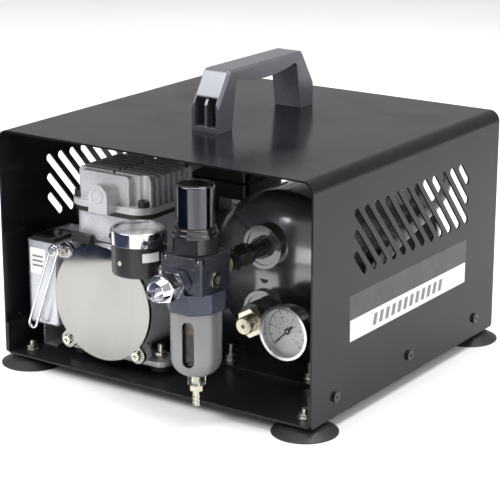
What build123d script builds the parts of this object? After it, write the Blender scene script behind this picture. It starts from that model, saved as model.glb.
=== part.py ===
"""Airbrush compressor: a single-cylinder oil-less pump and an air tank in an open-ended sheet case.

Case frame used below: X to the right, Y to the back, Z up, with Y = 0 at the middle of the
case and Z = 0 at the underside of the base tray. Every finished piece is moved from that
frame to the frame of the whole object, whose origin is the middle of the footprint on the
surface that the feet stand on.
"""
from build123d import *
from math import atan2, cos, degrees, radians, sin, tan
import os

# ---------------------------------------------------------------- driving dimensions, mm
CASE_W = 290.0              # X
CASE_D = 278.0              # Y
CASE_H = 183.0              # underside of the tray to the top of the cover
SHEET = 1.5
FOOT_H = 9.0                # suction cup rim to the underside of the tray
FRONT_REACH = 210.0         # middle of the case to the tip of the outlet nipple
FOOT_X, FOOT_Y, FOOT_R = 130.0, 124.0, 25.0

PUMP_X, PUMP_Z = -54.0, 55.5        # crankshaft axis, along Y
PLATE_Y = -129.0                    # front face of the polished crankcase cover
PUMP_R = 44.0
CYL_Y = -87.0                       # cylinder axis, vertical
THROW = 5.0                         # crank throw, half the stroke

TANK_X, TANK_Z, TANK_R = 56.0, 79.0, 64.0
TANK_FRONT, TANK_BACK = -38.0, 88.0  # ends of the straight shell
DOME = 30.0
PORT_OFF = 25.8                     # tank ports above and below the tank axis
PORT_FACE = -71.0

REG_X, REG_Y = 56.0, -155.5
REG_W = 36.0
GAUGE_X = 5.0                       # small gauge beside the regulator, facing up
CLEAR = 0.3                         # gap between pieces that move past each other
FIT = 0.05                          # radial clearance of a running fit

CASE_Y = (FRONT_REACH - FOOT_Y - FOOT_R) / 2
TO_OBJECT = Location((0, CASE_Y, FOOT_H))

os.makedirs("parts", exist_ok=True)


def finish(piece, label):
    """Move a finished piece into the object's frame, label it and write it."""
    placed = piece.part.moved(TO_OBJECT)
    placed.label = label
    export_step(placed, f"parts/{label}.step")


def facing_front(y):
    """A sketch plane at Y = y that looks forwards, with X to the right and Z up."""
    return Plane.XZ.offset(-y)


def hexagon(across_flats, rotation=0):
    return RegularPolygon(radius=across_flats / 2, side_count=6, major_radius=False, rotation=rotation)


# ================================================================ case
SIDE_SCREW_Y = (-107.0, 0.0, 107.0)
SIDE_SCREW_Z = 15.5
SCREW_R = 2.0
HANDLE_X, HANDLE_Y = -6.0, 9.0
HANDLE_BOLT_Y = 57.0                # bolts fore and aft of the handle's middle
HANDLE_BOLT_R = 3.0

SLOT_W = 6.2
SLOT_PITCH = 14.27
SLOT_SLOPE = 1.13                   # fall of a slot per unit of its run towards the back
SLOT_TOP, SLOT_LOW = 148.5, 102.5   # arc centres of the slots' ends
SLOT_FRONT, SLOT_REAR = -81.0, 87.0
SLOT_COUNT = 14


def vent_ends(index):
    """Arc centres of one slanted cooling slot, clipped to the vented window."""
    top_y = SLOT_FRONT + (index - 2) * SLOT_PITCH
    start_y = max(top_y, SLOT_FRONT)
    start_z = SLOT_TOP - (start_y - top_y) * SLOT_SLOPE
    end_y = min(top_y + (SLOT_TOP - SLOT_LOW) / SLOT_SLOPE, SLOT_REAR)
    end_z = SLOT_TOP - (end_y - top_y) * SLOT_SLOPE
    return (start_y, start_z), (end_y, end_z)


with BuildPart() as cover:
    with BuildSketch(facing_front(0)):
        Rectangle(CASE_W, CASE_H, align=(Align.CENTER, Align.MIN))
        fillet(vertices().group_by(Axis.Y)[-1], radius=9)
    extrude(amount=CASE_D / 2, both=True)
    with BuildSketch(facing_front(0)):
        Rectangle(CASE_W - 2 * SHEET, CASE_H - SHEET, align=(Align.CENTER, Align.MIN))
        fillet(vertices().group_by(Axis.Y)[-1], radius=9 - SHEET)
    extrude(amount=CASE_D, both=True, mode=Mode.SUBTRACT)
    fillet(edges().filter_by(Axis.X).group_by(Axis.Z)[0], radius=3)
    with BuildSketch(Plane.YZ):
        for slot in range(SLOT_COUNT):
            slot_start, slot_end = vent_ends(slot)
            middle = ((slot_start[0] + slot_end[0]) / 2, (slot_start[1] + slot_end[1]) / 2)
            SlotCenterPoint(center=middle, point=slot_end, height=SLOT_W)
    extrude(amount=CASE_W, both=True, mode=Mode.SUBTRACT)
    for side_y in SIDE_SCREW_Y:
        with Locations(Location((0, side_y, SIDE_SCREW_Z), (0, 90, 0))):
            Hole(radius=SCREW_R, depth=CASE_W)
    with Locations(*[(HANDLE_X, HANDLE_Y + end * HANDLE_BOLT_Y, CASE_H) for end in (-1, 1)]):
        Hole(radius=HANDLE_BOLT_R, depth=2 * SHEET)
finish(cover, "cover")

TRAY_W = CASE_W - 2 * SHEET - 0.4
TRAY_FLANGE = 25.5
PUMP_MOUNTS = [(PUMP_X + 38 * side, y) for side in (-1, 1) for y in (-104.0, 46.0)]
MOUNT_BOLT_R = 3.0
TANK_BOLTS = [(TANK_X + 37 * side, y) for side in (-1, 1) for y in (-59.0, 98.0)]
FEET = [(FOOT_X * side, FOOT_Y * end) for side in (-1, 1) for end in (-1, 1)]
STUD_R = 2.5

with BuildPart() as base_tray:
    with BuildSketch(facing_front(0)):
        Rectangle(TRAY_W, TRAY_FLANGE, align=(Align.CENTER, Align.MIN))
        fillet(vertices().group_by(Axis.Y)[0], radius=3)
        with Locations((0, SHEET)):
            Rectangle(TRAY_W - 2 * SHEET, TRAY_FLANGE, align=(Align.CENTER, Align.MIN), mode=Mode.SUBTRACT)
    extrude(amount=CASE_D / 2, both=True)
    with Locations(*[(x, y, SHEET) for x, y in FEET + PUMP_MOUNTS + TANK_BOLTS]):
        Hole(radius=STUD_R, depth=2 * SHEET)
    for side_y in SIDE_SCREW_Y:
        with Locations(Location((0, side_y, SIDE_SCREW_Z), (0, 90, 0))):
            Hole(radius=SCREW_R, depth=CASE_W)
finish(base_tray, "base_tray")

# Dome-headed screws hold the cover to the tray, and two bolts from below hold the handle.
with BuildPart() as case_screws:
    for side in (-1, 1):
        for side_y in SIDE_SCREW_Y:
            with BuildSketch(Plane(origin=(side * CASE_W / 2, side_y, SIDE_SCREW_Z),
                                   z_dir=(side, 0, 0))) as head_outline:
                Circle(4)
                Circle(1.2, mode=Mode.SUBTRACT)
            extrude(amount=2)
            fillet(edges(Select.LAST).filter_by(GeomType.CIRCLE).sort_by(Axis.X)[-1 if side > 0 else 0],
                   radius=0.15)
            with BuildSketch(Plane(origin=(side * CASE_W / 2, side_y, SIDE_SCREW_Z), z_dir=(side, 0, 0))):
                Circle(SCREW_R)
            extrude(amount=-6)
    for end in (-1, 1):
        with BuildSketch(Plane.XY.offset(CASE_H - SHEET)):
            with Locations((HANDLE_X, HANDLE_Y + end * HANDLE_BOLT_Y)):
                Circle(5.5)
        extrude(amount=-4)
        with BuildSketch(Plane.XY.offset(CASE_H - SHEET)):
            with Locations((HANDLE_X, HANDLE_Y + end * HANDLE_BOLT_Y)):
                Circle(HANDLE_BOLT_R)
        extrude(amount=14)
finish(case_screws, "case_screws")

# The handle runs fore and aft: two legs with sloping outer faces and a bellied grip.
HANDLE_W = 25.0
HANDLE_HALF, HANDLE_TOP_HALF = 66.5, 51.0
HANDLE_TOP = 229.5
HANDLE_KNEE = 205.0                 # where a leg's upright outer face meets its slope
LEG_INNER = 48.5
GRIP_HALF, GRIP_END_Z, GRIP_BELLY_Z = 42.0, 222.0, 216.5
POCKET_W = 9.0

with BuildPart() as carry_handle:
    with BuildSketch(Plane.YZ.offset(HANDLE_X)):
        with BuildLine():
            outer = Polyline((-LEG_INNER, CASE_H), (-HANDLE_HALF, CASE_H), (-HANDLE_HALF, HANDLE_KNEE),
                             (-HANDLE_TOP_HALF, HANDLE_TOP), (HANDLE_TOP_HALF, HANDLE_TOP),
                             (HANDLE_HALF, HANDLE_KNEE), (HANDLE_HALF, CASE_H), (LEG_INNER, CASE_H))
            rear_leg = Line(outer @ 1, (GRIP_HALF, GRIP_END_Z))
            belly = ThreePointArc(rear_leg @ 1, (0, GRIP_BELLY_Z), (-GRIP_HALF, GRIP_END_Z))
            front_leg = Line(belly @ 1, outer @ 0)
        make_face()
    extrude(amount=HANDLE_W / 2, both=True)
    fillet(edges().filter_by(Axis.X).group_by(Axis.Z)[-1], radius=4)
    fillet(edges().filter_by(Axis.X).filter_by_position(Axis.Z, GRIP_END_Z - 1, GRIP_END_Z + 1), radius=4)
    chamfer(edges().group_by(Axis.Z)[-1].filter_by(Axis.Y), length=2)
    # two open pockets in each end face, with a rib between them
    for end in (-1, 1):
        with BuildSketch(Plane.YZ.offset(HANDLE_X)):
            Polygon((end * (HANDLE_HALF + 1), CASE_H + 4), (end * (HANDLE_HALF + 1), HANDLE_KNEE - 1),
                    (end * (HANDLE_TOP_HALF + 3.5), HANDLE_TOP - 7), (end * 53.5, CASE_H + 4),
                    align=None)
        extrude(amount=POCKET_W + 1, both=True, mode=Mode.SUBTRACT)
        with BuildSketch(Plane.YZ.offset(HANDLE_X)):
            Polygon((end * (HANDLE_HALF - 1), CASE_H + 3), (end * (HANDLE_HALF - 1), HANDLE_KNEE - 1),
                    (end * (HANDLE_TOP_HALF + 2), HANDLE_TOP - 6), (end * 53, CASE_H + 3),
                    align=None)
        extrude(amount=1.2, both=True)
    with Locations(*[(0 + HANDLE_X, end * HANDLE_BOLT_Y, CASE_H) for end in (-1, 1)]):
        Hole(radius=HANDLE_BOLT_R, depth=14 - SHEET)
carry_handle.part.locate(Location((0, HANDLE_Y, 0)))
finish(carry_handle, "carry_handle")

# Each foot is a rubber suction cup on a stud that comes up through the tray.
FOOT_PROFILE = [(STUD_R, 0), (9, 0), (10, -2), (17, -4), (FOOT_R, -FOOT_H + 0.8), (FOOT_R, -FOOT_H),
                (FOOT_R - 3, -FOOT_H), (9, -5.5), (STUD_R, -5.5)]
with BuildPart() as suction_feet:
    for foot_x, foot_y in FEET:
        with BuildSketch(Plane.XZ.offset(-foot_y)):
            Polygon(*[(foot_x + r, z) for r, z in FOOT_PROFILE], align=None)
        revolve(axis=Axis((foot_x, foot_y, 0), (0, 0, 1)))
finish(suction_feet, "suction_feet")


def bolt_and_nut(x, y, low, high, nut_at, nut_flats=8.5, nut_height=3.6):
    """Add a stud along Z, with its washer and hexagon nut, to the open part."""
    with BuildSketch(Plane.XY.offset(low)) as stud:
        with Locations((x, y)):
            Circle(STUD_R)
    extrude(stud.sketch, amount=high - low)
    with BuildSketch(Plane.XY.offset(nut_at)) as washer:
        with Locations((x, y)):
            Circle(nut_flats / 2 + 1.4)
    extrude(washer.sketch, amount=1)
    with BuildSketch(Plane.XY.offset(nut_at + 1)) as nut:
        with Locations((x, y)):
            hexagon(nut_flats, rotation=15)
    extrude(nut.sketch, amount=nut_height)


LUG_Z, LUG_T = 8.0, 4.0             # underside and thickness of the pump's feet
TANK_PLATE_T = 2.0

with BuildPart() as tray_fasteners:
    for stud_x, stud_y in FEET:
        bolt_and_nut(stud_x, stud_y, -5.0, 9.0, SHEET, nut_height=2.8)
    for stud_x, stud_y in PUMP_MOUNTS:
        bolt_and_nut(stud_x, stud_y, 0.0, 23.0, LUG_Z + LUG_T)
    for stud_x, stud_y in TANK_BOLTS:
        bolt_and_nut(stud_x, stud_y, 0.0, 17.0, SHEET + TANK_PLATE_T)
finish(tray_fasteners, "tray_fasteners")

with BuildPart() as rubber_mounts:
    for mount_x, mount_y in PUMP_MOUNTS:
        with BuildSketch(Plane.XY.offset(SHEET)):
            with Locations((mount_x, mount_y)):
                Circle(8)
                Circle(STUD_R, mode=Mode.SUBTRACT)
        extrude(amount=LUG_Z - SHEET)
    fillet(edges().filter_by(GeomType.CIRCLE).filter_by(lambda e: abs(e.radius - 8) < 0.01), radius=1.2)
finish(rubber_mounts, "rubber_mounts")

# ================================================================ pump
PLATE_T = 3.0
PLATE_R = 46.5
EAR_X, EAR_Z, EAR_R = 34.0, 36.0, 6.5
EARS = [(PUMP_X + sx * EAR_X, PUMP_Z + sz * EAR_Z) for sx in (-1, 1) for sz in (-1, 1)]
CHAMBER_FRONT, CHAMBER_BACK = PLATE_Y + PLATE_T, -74.0
CRANKCASE_BACK = -62.0
BEARING_R = 13.0
SHAFT_R = 5.0
CYL_SIZE = (70.0, 64.0)
CYL_LOW, CYL_TOP = 102.0, 124.2
BORE_R = 20.0


def eared_disc(radius, ear_radius):
    """Round flange outline with four ears, on the crankshaft axis."""
    with Locations((PUMP_X, PUMP_Z)):
        Circle(radius)
    with Locations(*EARS):
        Circle(ear_radius)
    for ear_x, ear_z in EARS:
        bridge = Vector(ear_x - PUMP_X, ear_z - PUMP_Z)
        with Locations(Location((PUMP_X + bridge.X * 0.8, PUMP_Z + bridge.Y * 0.8),
                                bridge.get_signed_angle(Vector(1, 0), Vector(0, 0, -1)))):
            Rectangle(bridge.length * 0.4, 2 * ear_radius)


with BuildPart() as crankcase:
    with BuildSketch(facing_front(CHAMBER_FRONT)):
        eared_disc(PLATE_R - 1, EAR_R)
    extrude(amount=-7)
    with BuildSketch(facing_front(CHAMBER_FRONT)):
        with Locations((PUMP_X, PUMP_Z)):
            Circle(PUMP_R)
    extrude(amount=-(CRANKCASE_BACK - CHAMBER_FRONT))
    # the seat of the cylinder block
    with BuildSketch(Plane.XY.offset(PUMP_Z + 20)):
        with Locations((PUMP_X, CYL_Y)):
            RectangleRounded(CYL_SIZE[0] - 4, CYL_SIZE[1] - 14, radius=10)
    extrude(amount=CYL_LOW - PUMP_Z - 20)
    # the front pair of feet and the web that joins them to the barrel
    with BuildSketch(Plane.XY.offset(LUG_Z)):
        with Locations((PUMP_X, PUMP_MOUNTS[0][1])):
            RectangleRounded(2 * 38 + 22, 24, radius=8)
    extrude(amount=LUG_T)
    with BuildSketch(Plane.XY.offset(LUG_Z)):
        with Locations((PUMP_X, PUMP_MOUNTS[0][1])):
            Rectangle(46, 16)
    extrude(amount=16)
    with BuildSketch(facing_front(CHAMBER_FRONT)):
        with Locations((PUMP_X, PUMP_Z)):
            Circle(38)
    extrude(amount=-(CHAMBER_BACK - CHAMBER_FRONT), mode=Mode.SUBTRACT)
    with BuildSketch(Plane.XY.offset(PUMP_Z)):
        with Locations((PUMP_X, CYL_Y)):
            Circle(BORE_R + 1)
    extrude(amount=CYL_LOW - PUMP_Z + 1, mode=Mode.SUBTRACT)
    with BuildSketch(facing_front(CHAMBER_BACK - 1)):
        with Locations((PUMP_X, PUMP_Z)):
            Circle(BEARING_R)
    extrude(amount=-(CRANKCASE_BACK - CHAMBER_BACK + 2), mode=Mode.SUBTRACT)
    with BuildSketch(facing_front(CHAMBER_FRONT)):
        with Locations(*EARS):
            Circle(SCREW_R)
    extrude(amount=-7, mode=Mode.SUBTRACT)
    with Locations(*[(x, y, LUG_Z + LUG_T) for x, y in PUMP_MOUNTS if y < 0]):
        Hole(radius=STUD_R, depth=LUG_T)
finish(crankcase, "crankcase")

with BuildPart() as crankcase_cover:
    with BuildSketch(facing_front(PLATE_Y + PLATE_T)):
        eared_disc(PLATE_R, EAR_R + 0.5)
    extrude(amount=PLATE_T)
    fillet(faces().sort_by(Axis.Y)[0].edges(), radius=0.7)
    with BuildSketch(facing_front(PLATE_Y + PLATE_T)):
        with Locations(*EARS):
            Circle(SCREW_R)
    extrude(amount=PLATE_T, mode=Mode.SUBTRACT)
finish(crankcase_cover, "crankcase_cover")

CLIP_T = 1.2
with BuildPart() as crankcase_screws:
    for ear_x, ear_z in EARS:
        over_clip = CLIP_T if (ear_x < PUMP_X and ear_z > PUMP_Z) else 0.0
        head_plane = facing_front(PLATE_Y - over_clip)
        with BuildSketch(head_plane):
            with Locations((ear_x, ear_z)):
                Circle(4)
        extrude(amount=2.6, taper=12)
        with BuildSketch(head_plane.offset(1.4)):
            with Locations((ear_x, ear_z)):
                Rectangle(4.4, 1)
                Rectangle(1, 4.4)
        extrude(amount=2, mode=Mode.SUBTRACT)
        with BuildSketch(head_plane):
            with Locations((ear_x, ear_z)):
                Circle(SCREW_R)
        extrude(amount=-9)
finish(crankcase_screws, "crankcase_screws")

with BuildPart() as cylinder:
    with BuildSketch(Plane.XY.offset(CYL_LOW)):
        with Locations((PUMP_X, CYL_Y)):
            RectangleRounded(*CYL_SIZE, radius=13)
    extrude(amount=CYL_TOP - CYL_LOW)
    with Locations((PUMP_X, CYL_Y, CYL_TOP)):
        Hole(radius=BORE_R, depth=CYL_TOP - CYL_LOW)
    for bolt_x in (-31.0, 31.0):
        for bolt_y in (-27.0, 27.0):
            with Locations((PUMP_X + bolt_x, CYL_Y + bolt_y, CYL_TOP)):
                Hole(radius=SCREW_R, depth=10)
finish(cylinder, "cylinder")

HEAD_LOW = 128.5
FLANGE_TOP = 133.5
HEAD_TOP = 157.0
HEAD_BOLTS = [(PUMP_X + bx, CYL_Y + by) for bx in (-31.0, 31.0) for by in (-27.0, 27.0)]
FIN_T = 3.4
FIN_PITCH = 7.0
FIN_COUNT = 8
FIN_LEFT, FIN_RIGHT = PUMP_X - 34.0, PUMP_X + 37.0
HEAD_FRONT = -118.0
PORT_X, PORT_Z, PORT_FRONT = -52.0, 141.5, -133.0

with BuildPart() as head_gasket:
    with BuildSketch(Plane.XY.offset(CYL_TOP)):
        with Locations((PUMP_X, CYL_Y)):
            RectangleRounded(CYL_SIZE[0] + 4, CYL_SIZE[1] + 4, radius=15)
            with GridLocations(14, 0, 2, 1):
                Circle(4, mode=Mode.SUBTRACT)
        with Locations(*HEAD_BOLTS):
            Circle(SCREW_R, mode=Mode.SUBTRACT)
    extrude(amount=HEAD_LOW - CYL_TOP)
finish(head_gasket, "head_gasket")

with BuildPart() as cylinder_head:
    with BuildSketch(Plane.XY.offset(HEAD_LOW)):
        with Locations((PUMP_X, CYL_Y)):
            RectangleRounded(CYL_SIZE[0] + 7, CYL_SIZE[1] + 7, radius=16)
    extrude(amount=FLANGE_TOP - HEAD_LOW)
    # core under the fins
    with BuildSketch(Plane.XY.offset(FLANGE_TOP)):
        with Locations((PUMP_X - 3, HEAD_FRONT + 28)):
            Rectangle(46, 56)
    extrude(amount=9)
    # solid front block and the row of fins behind it, all with rounded top corners
    with BuildSketch(facing_front(HEAD_FRONT + 6)):
        with Locations((PUMP_X - 3, FLANGE_TOP)):
            Rectangle(47, HEAD_TOP - FLANGE_TOP - 1, align=(Align.CENTER, Align.MIN))
        fillet(vertices().group_by(Axis.Y)[-1], radius=2.5)
    extrude(amount=6)
    for fin in range(FIN_COUNT):
        with BuildSketch(facing_front(HEAD_FRONT + 6 + FIN_PITCH * fin + FIN_T)):
            with Locations(((FIN_LEFT + FIN_RIGHT) / 2, FLANGE_TOP)):
                Rectangle(FIN_RIGHT - FIN_LEFT, HEAD_TOP - FLANGE_TOP, align=(Align.CENTER, Align.MIN))
            fillet(vertices().group_by(Axis.Y)[-1], radius=4)
        extrude(amount=FIN_T)
    # slot along the middle, through the upper half of the fins
    with BuildSketch(Plane.XY.offset(HEAD_TOP - 10)):
        with Locations((PUMP_X + 2, HEAD_FRONT + 6 + 30)):
            Rectangle(2.6, 60)
    extrude(amount=20, mode=Mode.SUBTRACT)
    # intake boss on the front, with its round face
    with BuildSketch(facing_front(HEAD_FRONT + 1)):
        with Locations((PORT_X, PORT_Z)):
            Circle(9)
        with Locations((PORT_X, (PORT_Z + HEAD_LOW) / 2)):
            Rectangle(18, PORT_Z - HEAD_LOW)
    extrude(amount=HEAD_FRONT + 1 - PORT_FRONT)
    # the bolts pass beside the fins, in open notches
    with BuildSketch(Plane.XY.offset(FLANGE_TOP)):
        with Locations(*HEAD_BOLTS):
            Circle(5)
    extrude(amount=HEAD_TOP, mode=Mode.SUBTRACT)
    with BuildSketch(Plane.XY.offset(HEAD_LOW)):
        with Locations(*HEAD_BOLTS):
            Circle(SCREW_R)
    extrude(amount=FLANGE_TOP, mode=Mode.SUBTRACT)
    # the intake passage behind the round plug in the boss
    with BuildSketch(facing_front(PORT_FRONT)):
        with Locations((PORT_X, PORT_Z)):
            Circle(5.5)
            Circle(5.0, mode=Mode.SUBTRACT)
    extrude(amount=-0.6, mode=Mode.SUBTRACT)
finish(cylinder_head, "cylinder_head")

with BuildPart() as head_bolts:
    for bolt_x, bolt_y in HEAD_BOLTS:
        with BuildSketch(Plane.XY.offset(FLANGE_TOP)):
            with Locations((bolt_x, bolt_y)):
                Circle(4)
        extrude(amount=5)
        with BuildSketch(Plane.XY.offset(FLANGE_TOP + 2)):
            with Locations((bolt_x, bolt_y)):
                hexagon(4)
        extrude(amount=4, mode=Mode.SUBTRACT)
        with BuildSketch(Plane.XY.offset(FLANGE_TOP)):
            with Locations((bolt_x, bolt_y)):
                Circle(SCREW_R)
        extrude(amount=-(FLANGE_TOP - CYL_TOP + 8))
finish(head_bolts, "head_bolts")

# Rocking piston: head, rod and big-end eye in one piece. The eye is open wide enough for the
# whole orbit of the crank pin, because the linkage is opened at this pivot.
PIN_R = 6.0
EYE_IN, EYE_OUT = 16.5, 20.0
EYE_T = 9.0
PISTON_TOP = CYL_TOP - 6.2

with BuildPart() as rocking_piston:
    with BuildSketch(Plane.XY.offset(PISTON_TOP)):
        with Locations((PUMP_X, CYL_Y)):
            Circle(BORE_R - 0.08)
    extrude(amount=-10)
    with BuildSketch(Plane.XY.offset(PISTON_TOP - 10)):
        with Locations((PUMP_X, CYL_Y)):
            Rectangle(12, EYE_T - 1)
    extrude(amount=-(PISTON_TOP - 10 - PUMP_Z - EYE_IN - 1))
    with BuildSketch(facing_front(CYL_Y + EYE_T / 2)):
        with Locations((PUMP_X, PUMP_Z)):
            Circle(EYE_OUT)
    extrude(amount=EYE_T)
    with BuildSketch(facing_front(CYL_Y + EYE_T / 2)):
        with Locations((PUMP_X, PUMP_Z)):
            Circle(EYE_IN)
    extrude(amount=EYE_T, mode=Mode.SUBTRACT)
finish(rocking_piston, "rocking_piston")

WEB_FRONT = -81.0
ROTOR_FRONT, ROTOR_BACK, ROTOR_R = -38.0, 18.0, 24.0
HOUSING_BACK = 38.0
BELL_WALL, BELL_BACK = 44.0, 80.0
FAN_FRONT, FAN_BACK = 58.0, 70.0
SHAFT_BACK = 72.0

with BuildPart() as crankshaft:
    with BuildSketch(facing_front(SHAFT_BACK)):
        with Locations((PUMP_X, PUMP_Z)):
            Circle(SHAFT_R)
    extrude(amount=SHAFT_BACK - WEB_FRONT)
    with BuildSketch(facing_front(WEB_FRONT + 5)):
        with Locations((PUMP_X, PUMP_Z)):
            Circle(13)
        with Locations((PUMP_X - 11, PUMP_Z)):
            RectangleRounded(22, 26, radius=8)
    extrude(amount=5)
    with BuildSketch(facing_front(WEB_FRONT)):
        with Locations((PUMP_X + THROW, PUMP_Z)):
            Circle(PIN_R)
    extrude(amount=11)
finish(crankshaft, "crankshaft")

with BuildPart() as rotor:
    with BuildSketch(facing_front(ROTOR_BACK)):
        with Locations((PUMP_X, PUMP_Z)):
            Circle(ROTOR_R)
            Circle(SHAFT_R, mode=Mode.SUBTRACT)
    extrude(amount=ROTOR_BACK - ROTOR_FRONT)
finish(rotor, "rotor")

with BuildPart() as shaft_bearings:
    for bearing_back in (CRANKCASE_BACK - 3, BELL_WALL + 8):
        with BuildSketch(facing_front(bearing_back)):
            with Locations((PUMP_X, PUMP_Z)):
                Circle(BEARING_R)
                Circle(SHAFT_R + FIT, mode=Mode.SUBTRACT)
        extrude(amount=8)
finish(shaft_bearings, "shaft_bearings")

with BuildPart() as stator:
    with BuildSketch(facing_front(ROTOR_BACK)):
        with Locations((PUMP_X, PUMP_Z)):
            Circle(PUMP_R - 3)
            Circle(ROTOR_R + 0.5, mode=Mode.SUBTRACT)
    extrude(amount=ROTOR_BACK - ROTOR_FRONT)
    with BuildSketch(facing_front(ROTOR_BACK + 12)):
        with Locations((PUMP_X, PUMP_Z)):
            Circle(PUMP_R - 6)
            Circle(ROTOR_R + 3, mode=Mode.SUBTRACT)
    extrude(amount=ROTOR_BACK - ROTOR_FRONT + 24)
finish(stator, "stator")

with BuildPart() as motor_housing:
    with BuildSketch(facing_front(HOUSING_BACK)):
        with Locations((PUMP_X, PUMP_Z)):
            Circle(PUMP_R - 0.5)
            Circle(PUMP_R - 3, mode=Mode.SUBTRACT)
    extrude(amount=HOUSING_BACK - CRANKCASE_BACK)
    with BuildSketch(facing_front(ROTOR_BACK - 6)):
        with Locations((PUMP_X, PUMP_Z)):
            Circle(PUMP_R)
            Circle(PUMP_R - 3, mode=Mode.SUBTRACT)
    extrude(amount=ROTOR_BACK - ROTOR_FRONT - 12)
finish(motor_housing, "motor_housing")

with BuildPart() as motor_end_bell:
    with BuildSketch(facing_front(BELL_BACK)):
        with Locations((PUMP_X, PUMP_Z)):
            Circle(PUMP_R)
            Circle(PUMP_R - 2.5, mode=Mode.SUBTRACT)
    extrude(amount=BELL_BACK - HOUSING_BACK)
    with BuildSketch(facing_front(BELL_WALL + 8)):
        with Locations((PUMP_X, PUMP_Z)):
            Circle(PUMP_R - 2)
            Circle(BEARING_R, mode=Mode.SUBTRACT)
            with PolarLocations(27, 6):
                Circle(6, mode=Mode.SUBTRACT)
    extrude(amount=5)
    with BuildSketch(facing_front(BELL_WALL + 8)):
        with Locations((PUMP_X, PUMP_Z)):
            Circle(BEARING_R + 3)
            Circle(BEARING_R, mode=Mode.SUBTRACT)
    extrude(amount=8)
    # slotted rear grille
    with BuildSketch(facing_front(BELL_BACK)):
        with Locations((PUMP_X, PUMP_Z)):
            Circle(PUMP_R - 2)
            with PolarLocations(25, 12):
                SlotOverall(22, 6, mode=Mode.SUBTRACT)
    extrude(amount=2)
    # rear pair of feet
    with BuildSketch(Plane.XY.offset(LUG_Z)):
        with Locations((PUMP_X, PUMP_MOUNTS[1][1])):
            RectangleRounded(2 * 38 + 22, 15, radius=6)
    extrude(amount=LUG_T)
    with BuildSketch(Plane.XY.offset(LUG_Z)):
        with Locations((PUMP_X, PUMP_MOUNTS[1][1])):
            Rectangle(40, 12)
    extrude(amount=7)
    with Locations(*[(x, y, LUG_Z + LUG_T) for x, y in PUMP_MOUNTS if y > 0]):
        Hole(radius=STUD_R, depth=LUG_T)
finish(motor_end_bell, "motor_end_bell")

FAN_BLADES = 7
with BuildPart() as cooling_fan:
    with BuildSketch(facing_front(FAN_BACK)):
        with Locations((PUMP_X, PUMP_Z)):
            Circle(10)
            Circle(SHAFT_R, mode=Mode.SUBTRACT)
    extrude(amount=FAN_BACK - FAN_FRONT)
    for blade in range(FAN_BLADES):
        turn = 360 / FAN_BLADES * blade
        root = Plane(origin=(PUMP_X + 9 * cos(radians(turn)), (FAN_FRONT + FAN_BACK) / 2,
                             PUMP_Z + 9 * sin(radians(turn))),
                     x_dir=(0, 1, 0), z_dir=(cos(radians(turn)), 0, sin(radians(turn))))
        with BuildSketch(root):
            Rectangle(9, 2, rotation=35)
        with BuildSketch(root.offset(28)):
            Rectangle(9, 1.6, rotation=52)
        loft()
finish(cooling_fan, "cooling_fan")

with BuildPart() as intake_filter:
    with BuildSketch(Plane.XY.offset(99.4)):
        with Locations((PUMP_X - 22, -122.6)):
            RectangleRounded(19, 6.2, radius=1.5)
    extrude(amount=7)
    fillet(edges().group_by(Axis.Z)[-1], radius=0.8)
    with BuildSketch(Plane.XY.offset(99.4)):
        with Locations((PUMP_X - 22, -122.6)):
            Circle(2.5)
    extrude(amount=-2.8)
finish(intake_filter, "intake_filter")

# ================================================================ switch box and hanger
BOX_LEFT, BOX_RIGHT = -133.0, -103.0
BOX_FRONT, BOX_BACK = -124.0, -70.0
BOX_LOW, BOX_TOP = 24.0, 93.0
BOX_X, BOX_Y = (BOX_LEFT + BOX_RIGHT) / 2, (BOX_FRONT + BOX_BACK) / 2
SWITCH_Y = BOX_FRONT + 17
ROCKER_W, ROCKER_L = 15.0, 22.0
GLAND_Z = 44.0

with BuildPart() as switch_box:
    with BuildSketch(Plane.XY.offset(BOX_LOW)):
        with Locations((BOX_X, BOX_Y)):
            RectangleRounded(BOX_RIGHT - BOX_LEFT, BOX_BACK - BOX_FRONT, radius=4)
    extrude(amount=BOX_TOP - BOX_LOW)
    fillet(edges().group_by(Axis.Z)[0], radius=3)
    with BuildSketch(Plane.XY.offset(BOX_LOW + 2)):
        with Locations((BOX_X, BOX_Y)):
            RectangleRounded(BOX_RIGHT - BOX_LEFT - 3, BOX_BACK - BOX_FRONT - 3, radius=2.5)
    extrude(amount=BOX_TOP - BOX_LOW - 4, mode=Mode.SUBTRACT)
    with BuildSketch(Plane.XY.offset(BOX_TOP - 3)):
        with Locations((BOX_X, SWITCH_Y)):
            Rectangle(ROCKER_W + 5, ROCKER_L + 5)
    extrude(amount=4, mode=Mode.SUBTRACT)
    with BuildSketch(facing_front(BOX_BACK + 1)):
        with Locations((BOX_X, GLAND_Z)):
            Circle(6)
    extrude(amount=4, mode=Mode.SUBTRACT)
    # sheet leg down to the tray
    with BuildSketch(facing_front(BOX_Y + 12)):
        with BuildLine():
            leg = Polyline((BOX_LEFT + 2, BOX_LOW + 1), (BOX_LEFT + 2, SHEET), (BOX_LEFT + 16, SHEET),
                           (BOX_LEFT + 16, SHEET + 1.5), (BOX_LEFT + 3.5, SHEET + 1.5),
                           (BOX_LEFT + 3.5, BOX_LOW + 1), close=True)
        make_face()
    extrude(amount=24)
finish(switch_box, "switch_box")

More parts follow.
